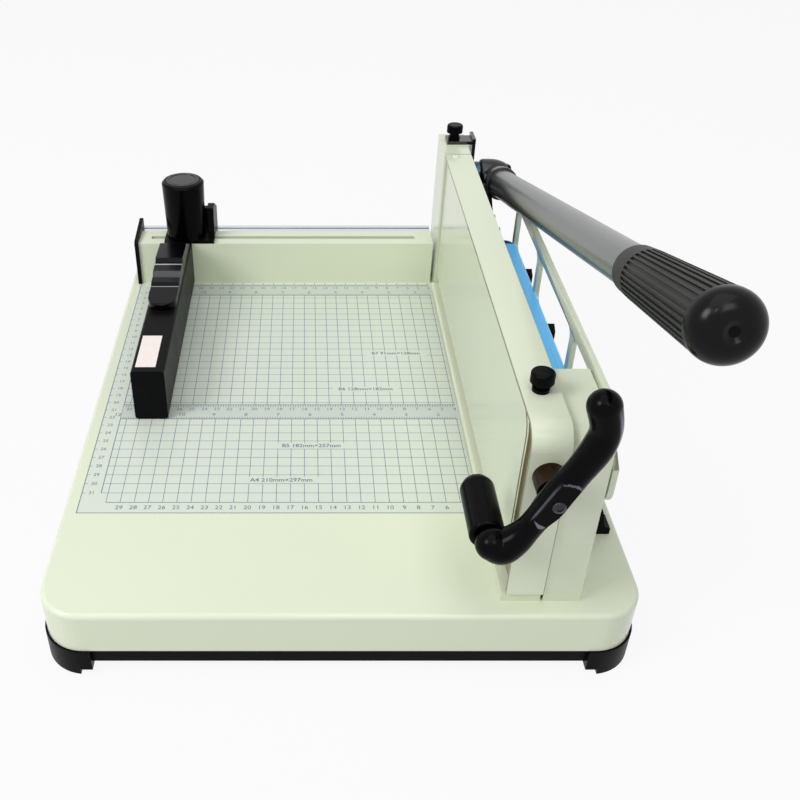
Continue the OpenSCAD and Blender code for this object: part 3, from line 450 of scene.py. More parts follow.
def stroke_tree():
    """Node tree that rules equal strokes at an even step."""
    tree = bpy.data.node_groups.new("ruled_strokes", "GeometryNodeTree")
    face = tree.interface
    inputs = {}
    for title, kind in (("Count", "Int"), ("Start", "Vector"), ("Step", "Vector"), ("Width", "Float"),
                        ("Height", "Float")):
        made = face.new_socket(title, in_out="INPUT", socket_type="NodeSocket" + kind)
        inputs[title] = made.identifier
    face.new_socket("Geometry", in_out="OUTPUT", socket_type="NodeSocketGeometry")
    n = Nodes(tree)
    into = n.node("NodeGroupInput").outputs
    row = n.node("GeometryNodeMeshLine", {}, {"Count": into["Count"], "Start Location": into["Start"],
                                              "Offset": into["Step"]})
    sheet = n.node("GeometryNodeMeshGrid", {}, {"Vertices X": 2, "Vertices Y": 2, "Size X": into["Width"],
                                                "Size Y": into["Height"]})
    copies = n.node("GeometryNodeInstanceOnPoints", {}, {"Points": row.outputs[0],
                                                         "Instance": sheet.outputs[0]})
    real = n.node("GeometryNodeRealizeInstances", {}, {0: copies.outputs[0]})
    n.node("NodeGroupOutput", {}, {0: real.outputs[0]})
    return tree, inputs


def settled(holder):
    """Plain mesh of what an object shows. The object is used up."""
    bpy.context.scene.collection.objects.link(holder)
    bpy.context.view_layer.update()
    graph = bpy.context.evaluated_depsgraph_get()
    mesh = bpy.data.meshes.new_from_object(holder.evaluated_get(graph))
    bpy.data.objects.remove(holder)
    return mesh


def ruled(tree, inputs, count, start, step, width, height):
    """Mesh of strokes from the tree, as plain geometry."""
    holder = bpy.data.objects.new("ruling", bpy.data.meshes.new("ruling"))
    rule = holder.modifiers.new("ruling", "NODES")
    rule.node_group = tree
    values = {"Count": count, "Start": start, "Step": step, "Width": width, "Height": height}
    for title, value in values.items():
        rule[inputs[title]] = value
    return settled(holder)


def joined(name, meshes):
    """One mesh without material from several, which are used up."""
    bm = bmesh.new()
    for mesh in meshes:
        bm.from_mesh(mesh)
        bpy.data.meshes.remove(mesh)
    made = bpy.data.meshes.new(name)
    bm.to_mesh(made)
    bm.free()
    return made


def lettered(words, size, where, bold=0.0):
    """Flat mesh of a line of type, lying on the table."""
    curve = bpy.data.curves.new("type", "FONT")
    curve.body = words
    curve.size = size
    curve.align_x = curve.align_y = "CENTER"
    curve.offset = bold
    curve.resolution_u = 3
    mesh = settled(bpy.data.objects.new("type", curve))
    bpy.data.curves.remove(curve)
    mesh.transform(Matrix.Translation(where))
    return mesh


def smooth_path(points, steps):
    """Rows of numbers along an even curve through the given rows."""
    made = []
    for a, b, c, d in zip((points[0], *points), points, points[1:], (*points[2:], points[-1])):
        for i in range(steps):
            t = i / steps
            made.append([q + 0.5 * t * (r - p + t * (2 * p - 5 * q + 4 * r - s + t * (3 * (q - r) + s - p)))
                         for p, q, r, s in zip(a, b, c, d)])
    return [*made, list(points[-1])]


def skin(bm, loops, count):
    """Faces between neighbouring loops of vertices, where a loop of one vertex is a pole."""
    for near, far in zip(loops, loops[1:]):
        for i in range(count):
            corners = [near[i % len(near)], near[(i + 1) % len(near)],
                       far[(i + 1) % len(far)], far[i % len(far)]]
            bm.faces.new(list(dict.fromkeys(corners)))


def turned(name, profile, place, steps=48):
    """Closed solid of revolution: (radius, height) points in millimetres from axis to axis."""
    bm = bmesh.new()
    loops = []
    for r, z in profile:
        turns = angles(math.tau, steps)[:steps if r else 1]
        loops.append([bm.verts.new(Vector((r * math.cos(a), r * math.sin(a), z)) * MM) for a in turns])
    skin(bm, loops, steps)
    return finished(name, bm, place)


def slab(name, outline, rise, edge, segments, place=Matrix()):
    """Closed plate: an outline of points, raised by a vector, with its raised rim bevelled."""
    bm = bmesh.new()
    bm.faces.new([bm.verts.new(point) for point in outline])
    grown = bmesh.ops.extrude_face_region(bm, geom=list(bm.faces))["geom"]
    raised = [v for v in grown if isinstance(v, bmesh.types.BMVert)]
    bmesh.ops.translate(bm, verts=raised, vec=rise)
    rim = [e for e in bm.edges if all(v in raised for v in e.verts)]
    bmesh.ops.bevel(bm, geom=rim, offset=edge, segments=segments, affect="EDGES")
    return finished(name, bm, place)


def finished(name, bm, place=Matrix()):
    """Mesh from a bmesh, with its faces outwards."""
    bmesh.ops.recalc_face_normals(bm, faces=bm.faces)
    bm.transform(place)
    mesh = bpy.data.meshes.new(name)
    bm.to_mesh(mesh)
    bm.free()
    return soften(mesh)


def soften(mesh):
    """Smooth shading between the sharp edges."""
    for face in mesh.polygons:
        face.use_smooth = True
    mesh.set_sharp_from_angle(angle=SHARP)
    return mesh


class Builder:
    """Shared run of the operators: build() is given the finish settings."""

    def execute(self, context):
        self.build(context.scene.cutter_finish)
        return {"FINISHED"}


class CUTTER_OT_finishes(Builder, bpy.types.Operator):
    """Give every CAD part its painted, moulded or metal finish"""
    bl_idname = "cutter.finishes"
    bl_label = "Finishes"

    def build(self, c):
        steel = bright_metal("turned_steel", c.steel, EVEN, rough=0.22)
        paint(["base_shell", "fence", "front_column", "rear_column", "right_post", "press_hood",
               "press_foot", "knife_carrier"], enamel_paint("enamel_paint", c.enamel))
        # The press panel shows only in the groove round the panel face, and is painted in shade there
        paint(["press_panel"], enamel_paint("painted_groove_shade", c.sunk))
        paint(["bottom_tray", "corner_feet", "fence_end_plate", "side_stop", "lever_hub", "axle_nut",
               "guide_carriage", "guide_bar", "knife_holder", "crank_screw", "grip_screw", "carrier_spacers",
               "carrier_bolts", "blade_bolts"], satin_black(c.black_paint))
        paint(["axle_keeper"], gloss_black("strap_black", c.black_gloss, shine=0.8))
        paint(["crank_lever", "crank_grip", "grip_cap", "front_thumb_screw", "rear_thumb_screw", "lock_knob"],
              gloss_black("gloss_black", c.black_gloss))
        # The guide's arm gets painted steel highlights along the edges of its steps
        paint(["guide_arm"], worn_arm(c.black_gloss, c.steel))
        paint(["foot_pads", "press_pad"], rubber_matt(c.black_gloss))
        paint(["lever_grip"], grip_moulding(c.grip))
        paint(["lever_tube"], plated_tube(c.tube))
        paint(["fence_rail"], bright_metal("drawn_rail", c.rail, (0.04, 1, 1), rough=0.16))
        paint(["blade"], bright_metal("ground_blade", c.steel, (1, 1, 0.05), rough=0.2))
        # Painted glow on the blue strip, which lies in the shade between hood and carrier
        paint(["blade_guard"], guard_plastic("guard_blue", c.guard, painted_glow=0.34))
        paint(["pivot_axle"], blued_steel(c.black_paint, c.blued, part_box("lever_hub")[0].x))
        paint(["cutting_stick"], guard_plastic("stick_plastic", c.stick))
        paint(["shaft_bush", "hub_bush", "lift_gear"], bright_metal("bronze", c.bronze, EVEN, rough=0.3))
        paint(["fence_screws", "column_bolts", "lift_rack", "slot_nut", "lock_stud",
               "gear_bracket", "clamp_shaft", "shaft_bevel", "crank_pin", "cross_shaft", "lift_bevel",
               "idler_gear"], steel)


class CUTTER_OT_table_print(Builder, bpy.types.Operator):
    """Print the ruling, scales and numbers on the table"""
    bl_idname = "cutter.table_print"
    bl_label = "Table print"

    # Edges of the ruling and front edge of the print, on the table's own axes in millimetres
    NEAR, FAR, LEFT, RIGHT, EDGE = -320, -1, -307, -27, -331
    # Reach of the ruling to the left of the ruler's zero, front end of its left line, ticks left of it
    REACH, SIDE_END, STUB = 305, -310, 2.5
    ROWS, COLUMNS = 31, 30
    # Numbers printed along the front, on the left and on the scales
    FOOT_CM, SIDE_CM, BAND_CM, BAND_INCH = range(6, 30), range(1, 32), range(4, 31), range(2, 13)
    # The two scales: front and rear line of each, then pitch and lengths of the ticks, rows of numbers
    BANDS = ((-25, -5), (-222, -203))
    TICK, REAR_TICK, FRONT_TICK, CM_IN, INCH_IN = 2, 3, 2.4, 6, 5.6
    NOTES = (("A4 210mm×297mm", -165, -296), ("B5 182mm×257mm", -143, -256),
             ("B6 128mm×182mm", -98, -181), ("B7 91mm×128mm", -69, -127))
    NOTE_WIDE, NOTE_DEEP = 27, 3.6
    # Shares of the line's width, of the digits' height and of the ink's tone
    BORDER, BAND_LINE, SIDE_DIGIT, BAND_DIGIT, BAND_TONE, TYPE_TONE = 1.5, 1.4, 0.82, 0.9, 0.16, 0.7
    # Printed layers from the table up
    GROUND, RULING, PATCH, TYPE = 1, 2, 3, 4

    def build(self, c):
        p = bpy.context.scene.cutter_print
        self.tree, self.film = stroke_tree(), p.film / MM
        self.zero, self.inch, self.cell = p.zero / MM, p.inch / MM, p.cell / MM
        self.grid_left = self.zero - self.REACH
        self.sheet("print_ground", [(self.LEFT, self.EDGE, self.RIGHT, self.FAR)], self.GROUND,
                   print_field("print_field", c.field))
        new_piece("table_ruling", joined("table_ruling", self.ruling(p)), "base",
                  print_ink("print_ink", c.ink))
        blank = [(x - self.NOTE_WIDE, y - self.NOTE_DEEP, x + self.NOTE_WIDE, y + self.NOTE_DEEP)
                 for _, x, y in self.NOTES]
        self.sheet("note_ground", blank, self.PATCH, print_field("note_field", c.field))
        bands = [(self.grid_left, y0, self.RIGHT, y1) for y0, y1 in self.BANDS]
        self.sheet("band_ground", bands, self.PATCH,
                   print_field("band_field", toward(c.field, c.ink, self.BAND_TONE)))
        new_piece("table_type", joined("table_type", self.lettering(p)), "base",
                  print_ink("type_ink", darker(c.ink, self.TYPE_TONE)))

    def sheet(self, name, areas, layer, material):
        """Printed ground of level rectangles."""
        corners = [[on_table(*corner) for corner in flat(*area, self.film * layer)] for area in areas]
        new_piece(name, quad_mesh(name, corners), "base", material)

    def rows(self, count, x0, x1, y, step, wide, layer=RULING):
        """Lines from left to right, one behind the other."""
        return ruled(*self.tree, count, on_table((x0 + x1) / 2, y, self.film * layer), (0, step * MM, 0),
                     (x1 - x0) * MM, wide)

    def columns(self, count, x, step, y0, y1, wide, layer=RULING):
        """Lines from front to rear, side by side."""
        return ruled(*self.tree, count, on_table(x, (y0 + y1) / 2, self.film * layer), (step * MM, 0, 0),
                     wide, (y1 - y0) * MM)

    def ruling(self, p):
        """Grid, its borders and the strip of numbers on the left."""
        fine, bold = p.fine, p.fine * self.BORDER
        first = self.zero - self.COLUMNS * self.cell
        shown = int((self.RIGHT - first) // self.cell) + 1
        sides = ((self.LEFT, self.EDGE), (self.grid_left, self.SIDE_END))
        return [self.rows(self.ROWS, self.grid_left, self.RIGHT, -self.cell, -self.cell, fine),
                self.columns(shown, first, self.cell, self.NEAR, self.FAR, fine),
                self.rows(1, self.LEFT, self.RIGHT, self.EDGE, 1, bold),
                self.rows(1, first, self.RIGHT, self.NEAR, 1, bold),
                *(self.columns(1, x, 1, y, self.FAR, bold) for x, y in sides),
                self.rows(self.ROWS, self.LEFT, self.LEFT + self.STUB, -self.cell, -self.cell, fine)]

    def lettering(self, p):
        """Numbers, notes and the two scales with their ticks."""
        high = self.film * self.TYPE
        foot, side = (self.NEAR + self.EDGE) / 2, (self.LEFT + self.grid_left) / 2
        meshes = [lettered(str(n), p.digit, on_table(self.zero - self.cell * n, foot, high))
                  for n in self.FOOT_CM]
        meshes += [lettered(str(n), p.digit * self.SIDE_DIGIT, on_table(side, -self.cell * n, high))
                   for n in self.SIDE_CM]
        for y0, y1 in self.BANDS:
            meshes += [self.rows(1, self.grid_left, self.RIGHT, y, 1, p.fine * self.BAND_LINE, self.TYPE)
                       for y in (y0, y1)]
            ticks = int((self.RIGHT - self.grid_left) // self.TICK)
            meshes += [self.columns(ticks, self.grid_left, self.TICK, near, far, p.fine, self.TYPE)
                       for near, far in ((y1 - self.REAR_TICK, y1), (y0, y0 + self.FRONT_TICK))]
            meshes += [lettered(str(n), p.digit * self.BAND_DIGIT,
                                on_table(self.zero - self.cell * n, y1 - self.CM_IN, high))
                       for n in self.BAND_CM]
            meshes += [lettered(str(n), p.digit, on_table(self.inch - INCH * n, y0 + self.INCH_IN, high))
                       for n in self.BAND_INCH]
        meshes += [lettered(words, p.digit, on_table(x, y, high), p.bold) for words, x, y in self.NOTES]
        return meshes


class CUTTER_OT_guide_label(Builder, bpy.types.Operator):
    """Lay a blank label on the side guide"""
    bl_idname = "cutter.guide_label"
    bl_label = "Guide label"

    # Shift left of the bar's middle, half width, both ends from the bar's front, height above it
    SHIFT, HALF, NEAR, FAR, LIFT = 2, 7.8, 6, 51.5, 0.15

    def build(self, c):
        low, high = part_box("guide_bar")
        middle, half = (low.x + high.x) / 2 - self.SHIFT * MM, self.HALF * MM
        corners = flat(middle - half, low.y + self.NEAR * MM, middle + half, low.y + self.FAR * MM,
                       high.z + self.LIFT * MM)
        new_piece("guide_label", quad_mesh("guide_label", [corners]), "guide", paper_label(c.label))


class CUTTER_OT_guard_end(Builder, bpy.types.Operator):
    """Round off the blue strip's rear end with its dark end piece"""
    bl_idname = "cutter.guard_end"
    bl_label = "Guard end"

    # Inset from the strip's sides, gap behind it, bevel
    INSET, GAP, EDGE, STEPS = 0.2, 0.05, 1.2, 24

    def build(self, c):
        low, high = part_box("blade_guard")
        inset = self.INSET * MM
        half = (high.x - low.x) / 2 - inset
        arc = [(half * math.cos(a), half * math.sin(a), inset) for a in angles(math.pi, self.STEPS)]
        place = Matrix.Translation(((low.x + high.x) / 2, high.y + self.GAP * MM, low.z))
        end = slab("guard_end", arc, (0, 0, high.z - low.z - 2 * inset), self.EDGE * MM, 3, place)
        new_piece("guard_end", end, "knife", guard_plastic("guard_end_blue", c.guard_end))


class CUTTER_OT_knob_face(Builder, bpy.types.Operator):
    """Set the ringed face into the lock knob's top"""
    bl_idname = "cutter.knob_face"
    bl_label = "Knob face"

    PROFILE = ((0, -0.2), (15.2, -0.2), (15, 0.5), (14.2, 0.7), (13.4, 0.6), (13, 0.1), (12.2, 0.1),
               (11.8, 0.4), (0, 0.5))
    GREY = 0.9

    def build(self, c):
        low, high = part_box("lock_knob")
        place = Matrix.Translation(((low.x + high.x) / 2, (low.y + high.y) / 2, high.z))
        black = gloss_black("knob_face", toward(c.black_gloss, c.grip, self.GREY), shine=0.3)
        new_piece("knob_face", turned("knob_face", self.PROFILE, place), "guide_knob", black)


class CUTTER_OT_hood_plug(Builder, bpy.types.Operator):
    """Press the pale plug into the rear of the hood's top"""
    bl_idname = "cutter.hood_plug"
    bl_label = "Hood plug"

    PROFILE = ((0, -0.3), (2.6, -0.3), (2.7, 0.3), (2.4, 0.8), (1.5, 1.1), (0, 1.2))
    SPOT, STEPS = (-14.6, -15), 32

    def build(self, c):
        place = on_table(*self.SPOT)
        place.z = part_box("press_hood")[1].z
        plug = turned("hood_plug", self.PROFILE, Matrix.Translation(place), self.STEPS)
        new_piece("hood_plug", plug, "clamp", guard_plastic("plug_plastic", c.plug))


class CUTTER_OT_crank_casting(Builder, bpy.types.Operator):
    """Cast the crank's double-curved lever with its flat boss"""
    bl_idname = "cutter.crank_casting"
    bl_label = "Crank casting"

    # Distance to the right of the shaft, height above it and radius, in millimetres
    PATH = ((14.4, 63.2, 9.2), (17.9, 49, 8.5), (15.6, 36, 8.7), (8.6, 20.4, 8.1), (1.8, 7.6, 8.6),
            (-3.6, -4, 8.6), (-8.6, -13, 7.4), (-13, -21, 7.6), (-18.8, -29.2, 9.2), (-25.6, -34.8, 10.4),
            (-31.6, -33, 9.6))
    # Painted highlight streaks: first and last share of the curve, angle round it at each, half width, depth
    STREAKS = ((0.03, 0.42, -46, -20, 13, 1), (0.36, 0.6, -137, -140, 5, 0.35))
    # Steepness of a streak's two ends, and strength of the painted highlight on the slope round the boss
    FADE, CHAMFER = 5, 0.42
    # Thickness at the boss, radius of its flat and slope beyond it
    THICK, FLAT, SLOPE = 12, 15.4, 0.8
    SCREW = ((0, 0), (4, 0), (4, 0.7), (3.6, 1.3), (2.7, 1.9), (1.6, 2.2), (1.5, 1.5), (0, 1.4))
    SUNK, SCREW_GREY, SCREW_STEPS = 0.2, 0.04, 40
    ROUND, STEPS, END = 64, 22, 10

    def build(self, c):
        low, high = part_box("crank_screw")
        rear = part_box("crank_lever")[1].y
        place = Matrix.Translation(((low.x + high.x) / 2, rear - self.THICK * MM / 2, (low.z + high.z) / 2))
        bm = bmesh.new()
        # Layer of painted highlights: the slope round the boss and streaks along the crank
        self.rub = bm.verts.layers.float.new(HIGHLIGHT_LAYER)
        rings = self.rings()
        loops = [[self.vertex(bm, *ring, row / len(rings), a) for a in angles(math.tau, self.ROUND)[:-1]]
                 for row, ring in enumerate(rings)]
        skin(bm, loops, self.ROUND)
        for loop in (loops[0], loops[-1]):
            bm.faces.new(loop)
        piece = new_piece("crank_casting", finished("crank_casting", bm, place), "crank",
                          rubbed_black(c.black_gloss, c.rubbed))
        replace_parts(piece, "crank_lever")
        self.screw(place, c)

    def rings(self):
        """Middle, direction and radius of every ring, with a rounded end on each side."""
        rows = [(Vector((x, 0, z)), r) for x, z, r in smooth_path(self.PATH, self.STEPS)]
        spots = [rows[0][0], *(spot for spot, _ in rows), rows[-1][0]]
        ways = [(after - before).normalized() for before, after in zip(spots, spots[2:])]
        turns = angles(math.pi / 2, self.END)[1:-1]
        (start, wide), (stop, thick) = rows[0], rows[-1]
        return [*((start - ways[0] * wide * math.cos(a), ways[0], wide * math.sin(a)) for a in turns),
                *((spot, way, r) for (spot, r), way in zip(rows, ways)),
                *((stop + ways[-1] * thick * math.sin(a), ways[-1], thick * math.cos(a)) for a in turns)]

    def screw(self, place, c):
        """Domed screw in the middle of the boss's flat."""
        front = Matrix.Translation((0, (self.SUNK - self.THICK / 2) * MM, 0))
        front = place @ front @ Matrix.Rotation(math.pi / 2, 4, "X")
        black = gloss_black("screw_black", toward(c.black_gloss, c.rubbed, self.SCREW_GREY), shine=0.3)
        piece = new_piece("boss_screw", turned("boss_screw", self.SCREW, front, self.SCREW_STEPS), "crank",
                          black)
        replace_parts(piece, "crank_screw")

    def vertex(self, bm, middle, way, r, share, angle):
        """Point on a ring, held back to the boss's flat in front and to the crank's flat rear."""
        side = Vector((-way.z, 0, way.x))
        spot = middle + side * (r * math.cos(angle)) + Vector((0, r * math.sin(angle), 0))
        out = max(0, math.hypot(spot.x, spot.z) - self.FLAT)
        half = self.THICK / 2
        flat_y = -half - out * self.SLOPE
        # Painted highlight on the slope round the boss and along the streaks
        highlight = self.CHAMFER if spot.y < flat_y and out else 0.0
        for first, last, start, stop, wide, deep in self.STREAKS:
            done = (share - first) / (last - first)
            aim = start + (stop - start) * done
            off = (math.degrees(angle) - aim + 180) % 360 - 180
            if 0 < done < 1:
                ends = min(1, self.FADE * done, self.FADE * (1 - done))
                highlight = max(highlight, deep * (1 - abs(off) / wide) * ends)
        spot.y = min(max(spot.y, flat_y), half)
        made = bm.verts.new(spot * MM)
        made[self.rub] = highlight
        return made


class CUTTER_OT_panel_face(Builder, bpy.types.Operator):
    """Stand the press panel's pressed face proud of the groove round it"""
    bl_idname = "cutter.panel_face"
    bl_label = "Panel face"

    # Height of the face over its groove, depth of its root in it, bevel, front corner's radius
    PROUD, ROOT, EDGE, CORNER, STEPS = 2.4, 0.2, 1.1, 15, 16
    # Width of the groove on each side
    TOP, FRONT, REAR, FOOT = 2.6, 18, 1, 7
    # Faces that look less to the left than this get the painted groove shade, the others the hood's enamel
    FACING = 0.5

    def build(self, _):
        low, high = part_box("press_panel")
        front, rear = low.y + self.FRONT * MM, high.y - self.REAR * MM
        foot, top, turn = low.z + self.FOOT * MM, high.z - self.TOP * MM, self.CORNER * MM
        corner = [(front + turn * (1 - math.sin(a)), top - turn * (1 - math.cos(a)))
                  for a in angles(math.pi / 2, self.STEPS)]
        rim = [(low.x + self.ROOT * MM, *spot)
               for spot in ((rear, foot), (rear, top), *corner, (front, foot))]
        plate = slab("panel_face", rim, (-(self.PROUD + self.ROOT) * MM, 0, 0), self.EDGE * MM, 3)
        piece = new_piece("panel_face", plate, "clamp", NODES["press_hood"].data.materials[0])
        piece.data.materials.append(NODES["press_panel"].data.materials[0])
        for face in piece.data.polygons:
            face.material_index = int(face.normal.x > -self.FACING)


class CUTTER_OT_grip_cap(Builder, bpy.types.Operator):
    """Close the lever's grip with a domed cap that has a soft dish round its screw"""
    bl_idname = "cutter.grip_cap"
    bl_label = "Grip cap"

    # The cap's radius, height and rounding, how deep the screw's head sits, and the head's own measures
    RADIUS, DOME, ROUND, SINK, HEAD_R, HEAD_T = 17.03, 13, 11, 3, 3, 1.6
    GAP, DOME_STEPS, STEPS = 0.05, 20, 72
    DISH = ((5.4, 12.9), (4.6, 12.6), (3.8, 12.15), (3.1, 11.8), (2.6, 11.65), (2.35, 11.4), (2.25, 10.6),
            (2.2, 9.6), (0, 9.6))

    def build(self, c):
        low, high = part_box("grip_screw")
        back, up = math.cos(LEVER_TILT), math.sin(LEVER_TILT)
        seat = Vector(((low.x + high.x) / 2, low.y + (self.HEAD_T * back + self.HEAD_R * up) * MM,
                       high.z - (self.HEAD_T * up + self.HEAD_R * back) * MM))
        foot = seat - Vector((0, -back, up)) * ((self.DOME - self.SINK) * MM)
        flat_r, flat_z = self.RADIUS - self.ROUND, self.DOME - self.ROUND
        dome = [(flat_r + self.ROUND * math.cos(a), flat_z + self.ROUND * math.sin(a))
                for a in angles(math.pi / 2, self.DOME_STEPS)]
        place = Matrix.Translation(foot) @ Matrix.Rotation(math.pi / 2 - LEVER_TILT, 4, "X")
        profile = ((0, self.GAP), (self.RADIUS, self.GAP), *dome, *self.DISH)
        black = gloss_black("cap_black", c.black_gloss, shine=0.16)
        piece = new_piece("cap_dome", turned("cap_dome", profile, place, self.STEPS), "knife",
                          black)
        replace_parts(piece, "grip_cap")


class CUTTER_OT_hood_edges(Builder, bpy.types.Operator):
    """Paint a shadow line along the hood's open edge, and line the joint between hood and post"""
    bl_idname = "cutter.hood_edges"
    bl_label = "Hood edges"

    # Radius of the hood's front corner, then the painted shadow line's distance from the edge, width and
    # height
    CORNER, INSET, WIDE, OUT, STEPS = 14, 0.02, 1.95, 0.14, 14
    # Strip in the joint: width, depth and height, bevel, gap to the post, distance from its front and table
    STRIP, STRIP_EDGE, STRIP_GAP, STRIP_IN = (0.76, 3, 118), 0.2, 0.1, 1

    def build(self, c):
        low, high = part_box("press_hood")
        outer, inner = (self.outline(low, high, d * MM) for d in (self.INSET, self.INSET + self.WIDE))
        bm = bmesh.new()
        ribs = [[bm.verts.new((low.x - out * MM, *spot))
                 for spot, out in ((a, 0), (a, self.OUT), (b, self.OUT), (b, 0))]
                for a, b in zip(outer, inner)]
        skin(bm, ribs, 3)
        new_piece("lip_shadow_line", finished("lip_shadow_line", bm), "clamp", enamel_paint("painted_lip_shadow", c.sunk))
        self.strip(c)

    def strip(self, c):
        """Dark strip on the post's side of the joint."""
        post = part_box("right_post")[0]
        wide, deep, tall = (d * MM for d in self.STRIP)
        gap, inset = self.STRIP_GAP * MM, self.STRIP_IN * MM
        bm = bmesh.new()
        bmesh.ops.create_cube(bm, size=1, matrix=Matrix.Diagonal((wide, deep, tall, 1)))
        bmesh.ops.bevel(bm, geom=bm.edges[:], offset=self.STRIP_EDGE * MM, segments=2, affect="EDGES")
        place = Matrix.Translation((post.x - wide / 2 - gap, post.y + deep / 2 + inset,
                                    TABLE_Z + tall / 2 + inset))
        new_piece("joint_strip", finished("joint_strip", bm, place), "base", rubber_matt(c.black_gloss))

    def outline(self, low, high, inset):
        """Points along the hood's side view, inset from its outer line."""
        turn = self.CORNER * MM
        r = turn - inset
        arc = [(low.y + turn - r * math.sin(a), high.z - turn + r * math.cos(a))
               for a in angles(math.pi / 2, self.STEPS)]
        return [(high.y - inset, high.z - inset), *arc, (low.y + inset, low.z + inset)]


class CUTTER_OT_carrier_end(Builder, bpy.types.Operator):
    """Slant the carrier's front end between its chords"""
    bl_idname = "cutter.carrier_end"
    bl_label = "Carrier end"

    # Slanted line and strut in the carrier's side view: distance behind its front end, height under its top
    LOW, HIGH = (0, 28.6), (37, 0.8)
    STRUT = (LOW, HIGH, (43, 7), (6, 36))
    # Gap between the strut and the carrier's two sides, and distance at which vertices are one
    SIDE, WELD = 0.06, 0.001

    def build(self, _):
        low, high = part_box("knife_carrier")
        node = NODES["knife_carrier"]

        def at(x, spot):
            return Vector((x, low.y + spot[0] * MM, high.z - spot[1] * MM))
        rise = at(0, self.HIGH) - at(0, self.LOW)
        bm = bmesh.new()
        bm.from_mesh(node.data)
        bmesh.ops.remove_doubles(bm, verts=bm.verts[:], dist=self.WELD * MM)
        bmesh.ops.bisect_plane(bm, geom=[*bm.verts, *bm.edges, *bm.faces], plane_co=at(low.x, self.LOW),
                               plane_no=(0, -rise.z, rise.y), clear_outer=True)
        bmesh.ops.holes_fill(bm, edges=[e for e in bm.edges if e.is_boundary])
        sides = [[bm.verts.new(at(x, spot)) for spot in self.STRUT]
                 for x in (low.x + self.SIDE * MM, high.x - self.SIDE * MM)]
        skin(bm, sides, len(self.STRUT))
        for side in sides:
            bm.faces.new(side)
        piece = new_piece("carrier_frame", finished("carrier_frame", bm), "knife", node.data.materials[0])
        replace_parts(piece, "knife_carrier")


class CUTTER_OT_knuckle(Builder, bpy.types.Operator):
    """Shape the lever's hub as a rounded knuckle with a short socket, on its axle with a low nut"""
    bl_idname = "cutter.knuckle"
    bl_label = "Knuckle"

    # (radius, distance) along the lever for the socket, along the axle from the cutting line for the others
    SOCKET = ((0, 8), (12, 8), (13.6, 10.5), (13.8, 13), (13.8, 30), (14.4, 30.4), (14.5, 33), (14.3, 35.6),
              (13, 36), (0, 36))
    BARREL = ((0, 10.5), (10.8, 10.5), (12, 11.4), (12.5, 13), (12.5, 19), (12.2, 23.5), (11.4, 27.5),
              (10.2, 31), (8.8, 33.8), (7.4, 35.6), (6.6, 36), (0, 36))
    AXLE = ((0, -20), (5.4, -20), (6, -19.4), (6, -0.3), (9.4, -0.3), (10, 0.3), (10, 9.6), (9.4, 10.2),
            (6, 10.2), (6, 37.9), (5.3, 38.6), (0, 38.6))
    NUT = ((0, 36.3), (7.4, 36.3), (7.4, 36.9), (7, 37.2), (7, 37.7), (6.5, 38.2), (0, 38.2))
    # Plate for the knife holder's bolts: outline across the lever, both sides, bevel
    PLATE = ((10.5, 113), (4, 72), (-76, 72), (-76, 89), (-53, 97), (-23, 121))
    PLATE_LEFT, PLATE_RIGHT, PLATE_EDGE = 10.6, 16.5, 1
    PIVOT, LEVER = (0, 0, 113), (24.7, 0, 107)
    GREY, STEPS = 0.015, 56

    def build(self, c):
        pivot = Matrix.Translation(on_table(*self.PIVOT)) @ Matrix.Rotation(math.pi / 2, 4, "Y")
        tilt = Matrix.Rotation(math.pi / 2 - LEVER_TILT, 4, "X")
        lever = Matrix.Translation(on_table(*self.LEVER)) @ tilt
        outline = [on_table(self.PLATE_LEFT, y, z) for y, z in self.PLATE]
        thick = ((self.PLATE_RIGHT - self.PLATE_LEFT) * MM, 0, 0)
        hub = soften(joined("hub_knuckle", [turned("barrel", self.BARREL, pivot, self.STEPS),
                                            turned("socket", self.SOCKET, lever, self.STEPS),
                                            slab("plate", outline, thick, self.PLATE_EDGE * MM, 2)]))
        black = gloss_black("hub_black", toward(c.black_gloss, c.rubbed, self.GREY), shine=0.45)
        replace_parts(new_piece("hub_knuckle", hub, "knife", black), "lever_hub")
        axle = new_piece("axle_pin", turned("axle_pin", self.AXLE, pivot), "base",
                         NODES["pivot_axle"].data.materials[0])
        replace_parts(axle, "pivot_axle")
        nut = new_piece("low_nut", turned("low_nut", self.NUT, pivot), "base",
                        NODES["axle_nut"].data.materials[0])
        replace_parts(nut, "axle_nut")


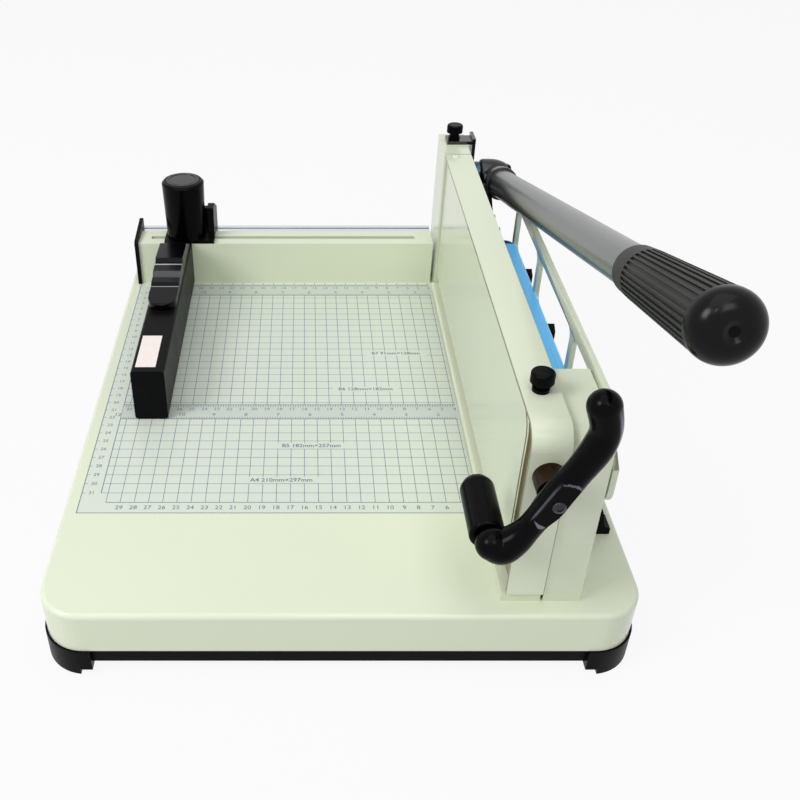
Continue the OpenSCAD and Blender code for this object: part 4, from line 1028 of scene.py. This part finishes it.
class CUTTER_OT_stage(Builder, bpy.types.Operator):
    """Set the floor, the light and the camera"""
    bl_idname = "cutter.stage"
    bl_label = "Stage"

    # Name, place and size in metres, power in watts
    LAMPS = (("key", (-1.3, -0.8, 1.4), 0.7, 17), ("front", (0.3, -1.3, 1.7), 0.7, 6.5),
             ("top", (-0.15, -0.2, 2.0), 1.6, 10), ("glint", (-0.5, -1.2, 1.6), 0.06, 1.4))
    AIM = (0, 0, 0.1)
    WHITE, ROOM, ROOM_LIGHT = (1, 1, 1), (0.93, 0.96, 1.0), 0.42
    REACH = 6

    def build(self, _):
        scene = bpy.context.scene
        settings = scene.cutter_stage
        scene.view_settings.view_transform = "Standard"
        self.floor(settings)
        self.sky(scene)
        for lamp in self.LAMPS:
            self.lamp(*lamp)
        lens = bpy.data.cameras.new("camera")
        lens.lens = settings.lens
        lens.shift_x = settings.shift
        camera = bpy.data.objects.new("camera", lens)
        camera.location = TABLE + Vector(settings.eye)
        camera.rotation_euler = (math.pi / 2 - settings.dip, 0, 0)
        scene.collection.objects.link(camera)
        scene.camera = camera

    def floor(self, settings):
        """Paper under the cutter, which the camera sees nearly white."""
        mesh = quad_mesh("floor", [flat(-self.REACH, -self.REACH, self.REACH, self.REACH, 0)])
        s = Shade("floor_paper")
        tint = settings.floor_tint
        s.put(Base_Color=s.mix(darker(tint, 0.98), tint, s.noise(scale=3, detail=2)), Roughness=0.8)
        white = s.node("ShaderNodeEmission", {}, {"Color": self.WHITE})
        both = s.node("ShaderNodeMixShader", {}, {0: s.clear_rays() * settings.floor_clear,
                                                  1: s.surface.outputs[0], 2: white.outputs[0]})
        s.feed(s.end.inputs["Surface"], both.outputs[0])
        mesh.materials.append(s.material)
        made = bpy.data.objects.new("floor", mesh)
        bpy.context.scene.collection.objects.link(made)

    def sky(self, scene):
        """Soft room light, with plain white behind."""
        scene.world = bpy.data.worlds.new("studio")
        scene.world.use_nodes = True
        n = Nodes(scene.world.node_tree)
        room = n.node("ShaderNodeBackground", {}, {"Color": self.ROOM, "Strength": self.ROOM_LIGHT})
        white = n.node("ShaderNodeBackground", {}, {"Color": self.WHITE})
        both = n.node("ShaderNodeMixShader", {}, {0: n.clear_rays(), 1: room.outputs[0], 2: white.outputs[0]})
        n.node("ShaderNodeOutputWorld", {}, {"Surface": both.outputs[0]})

    def lamp(self, name, spot, size, watts):
        """Square lamp that looks at the cutter."""
        light = bpy.data.lights.new(name, "AREA")
        light.size = size
        light.energy = watts
        made = bpy.data.objects.new(name, light)
        made.location = spot
        made.rotation_euler = (Vector(self.AIM) - Vector(spot)).to_track_quat("-Z", "Y").to_euler()
        bpy.context.scene.collection.objects.link(made)


class CUTTER_PT_panel(bpy.types.Panel):
    """Lists the cutter's settings and its operators"""
    bl_idname = "CUTTER_PT_panel"
    bl_label = "Stack cutter"
    bl_space_type = "VIEW_3D"
    bl_region_type = "UI"
    bl_category = "Cutter"

    def draw(self, context):
        for key in GROUPS:
            group = getattr(context.scene, key)
            for name in group.__annotations__:
                self.layout.prop(group, name)
        for operator in OPERATORS:
            self.layout.operator(operator.bl_idname)


OPERATORS = (CUTTER_OT_finishes, CUTTER_OT_table_print, CUTTER_OT_guide_label, CUTTER_OT_guard_end,
             CUTTER_OT_knob_face, CUTTER_OT_hood_plug, CUTTER_OT_crank_casting, CUTTER_OT_panel_face,
             CUTTER_OT_grip_cap, CUTTER_OT_hood_edges, CUTTER_OT_carrier_end, CUTTER_OT_knuckle,
             CUTTER_OT_stage)
GROUPS = {"cutter_finish": CutterFinish, "cutter_print": CutterPrint, "cutter_stage": CutterStage}
CLASSES = (*GROUPS.values(), *OPERATORS, CUTTER_PT_panel)


def register():
    for item in CLASSES:
        bpy.utils.register_class(item)
    for key, group in GROUPS.items():
        setattr(bpy.types.Scene, key, bpy.props.PointerProperty(type=group))


def unregister():
    for key in GROUPS:
        delattr(bpy.types.Scene, key)
    for item in reversed(CLASSES):
        bpy.utils.unregister_class(item)


def main():
    register()
    for operator in OPERATORS:
        group, call = operator.bl_idname.split(".")
        getattr(getattr(bpy.ops, group), call)()


if __name__ == "__main__":
    main()
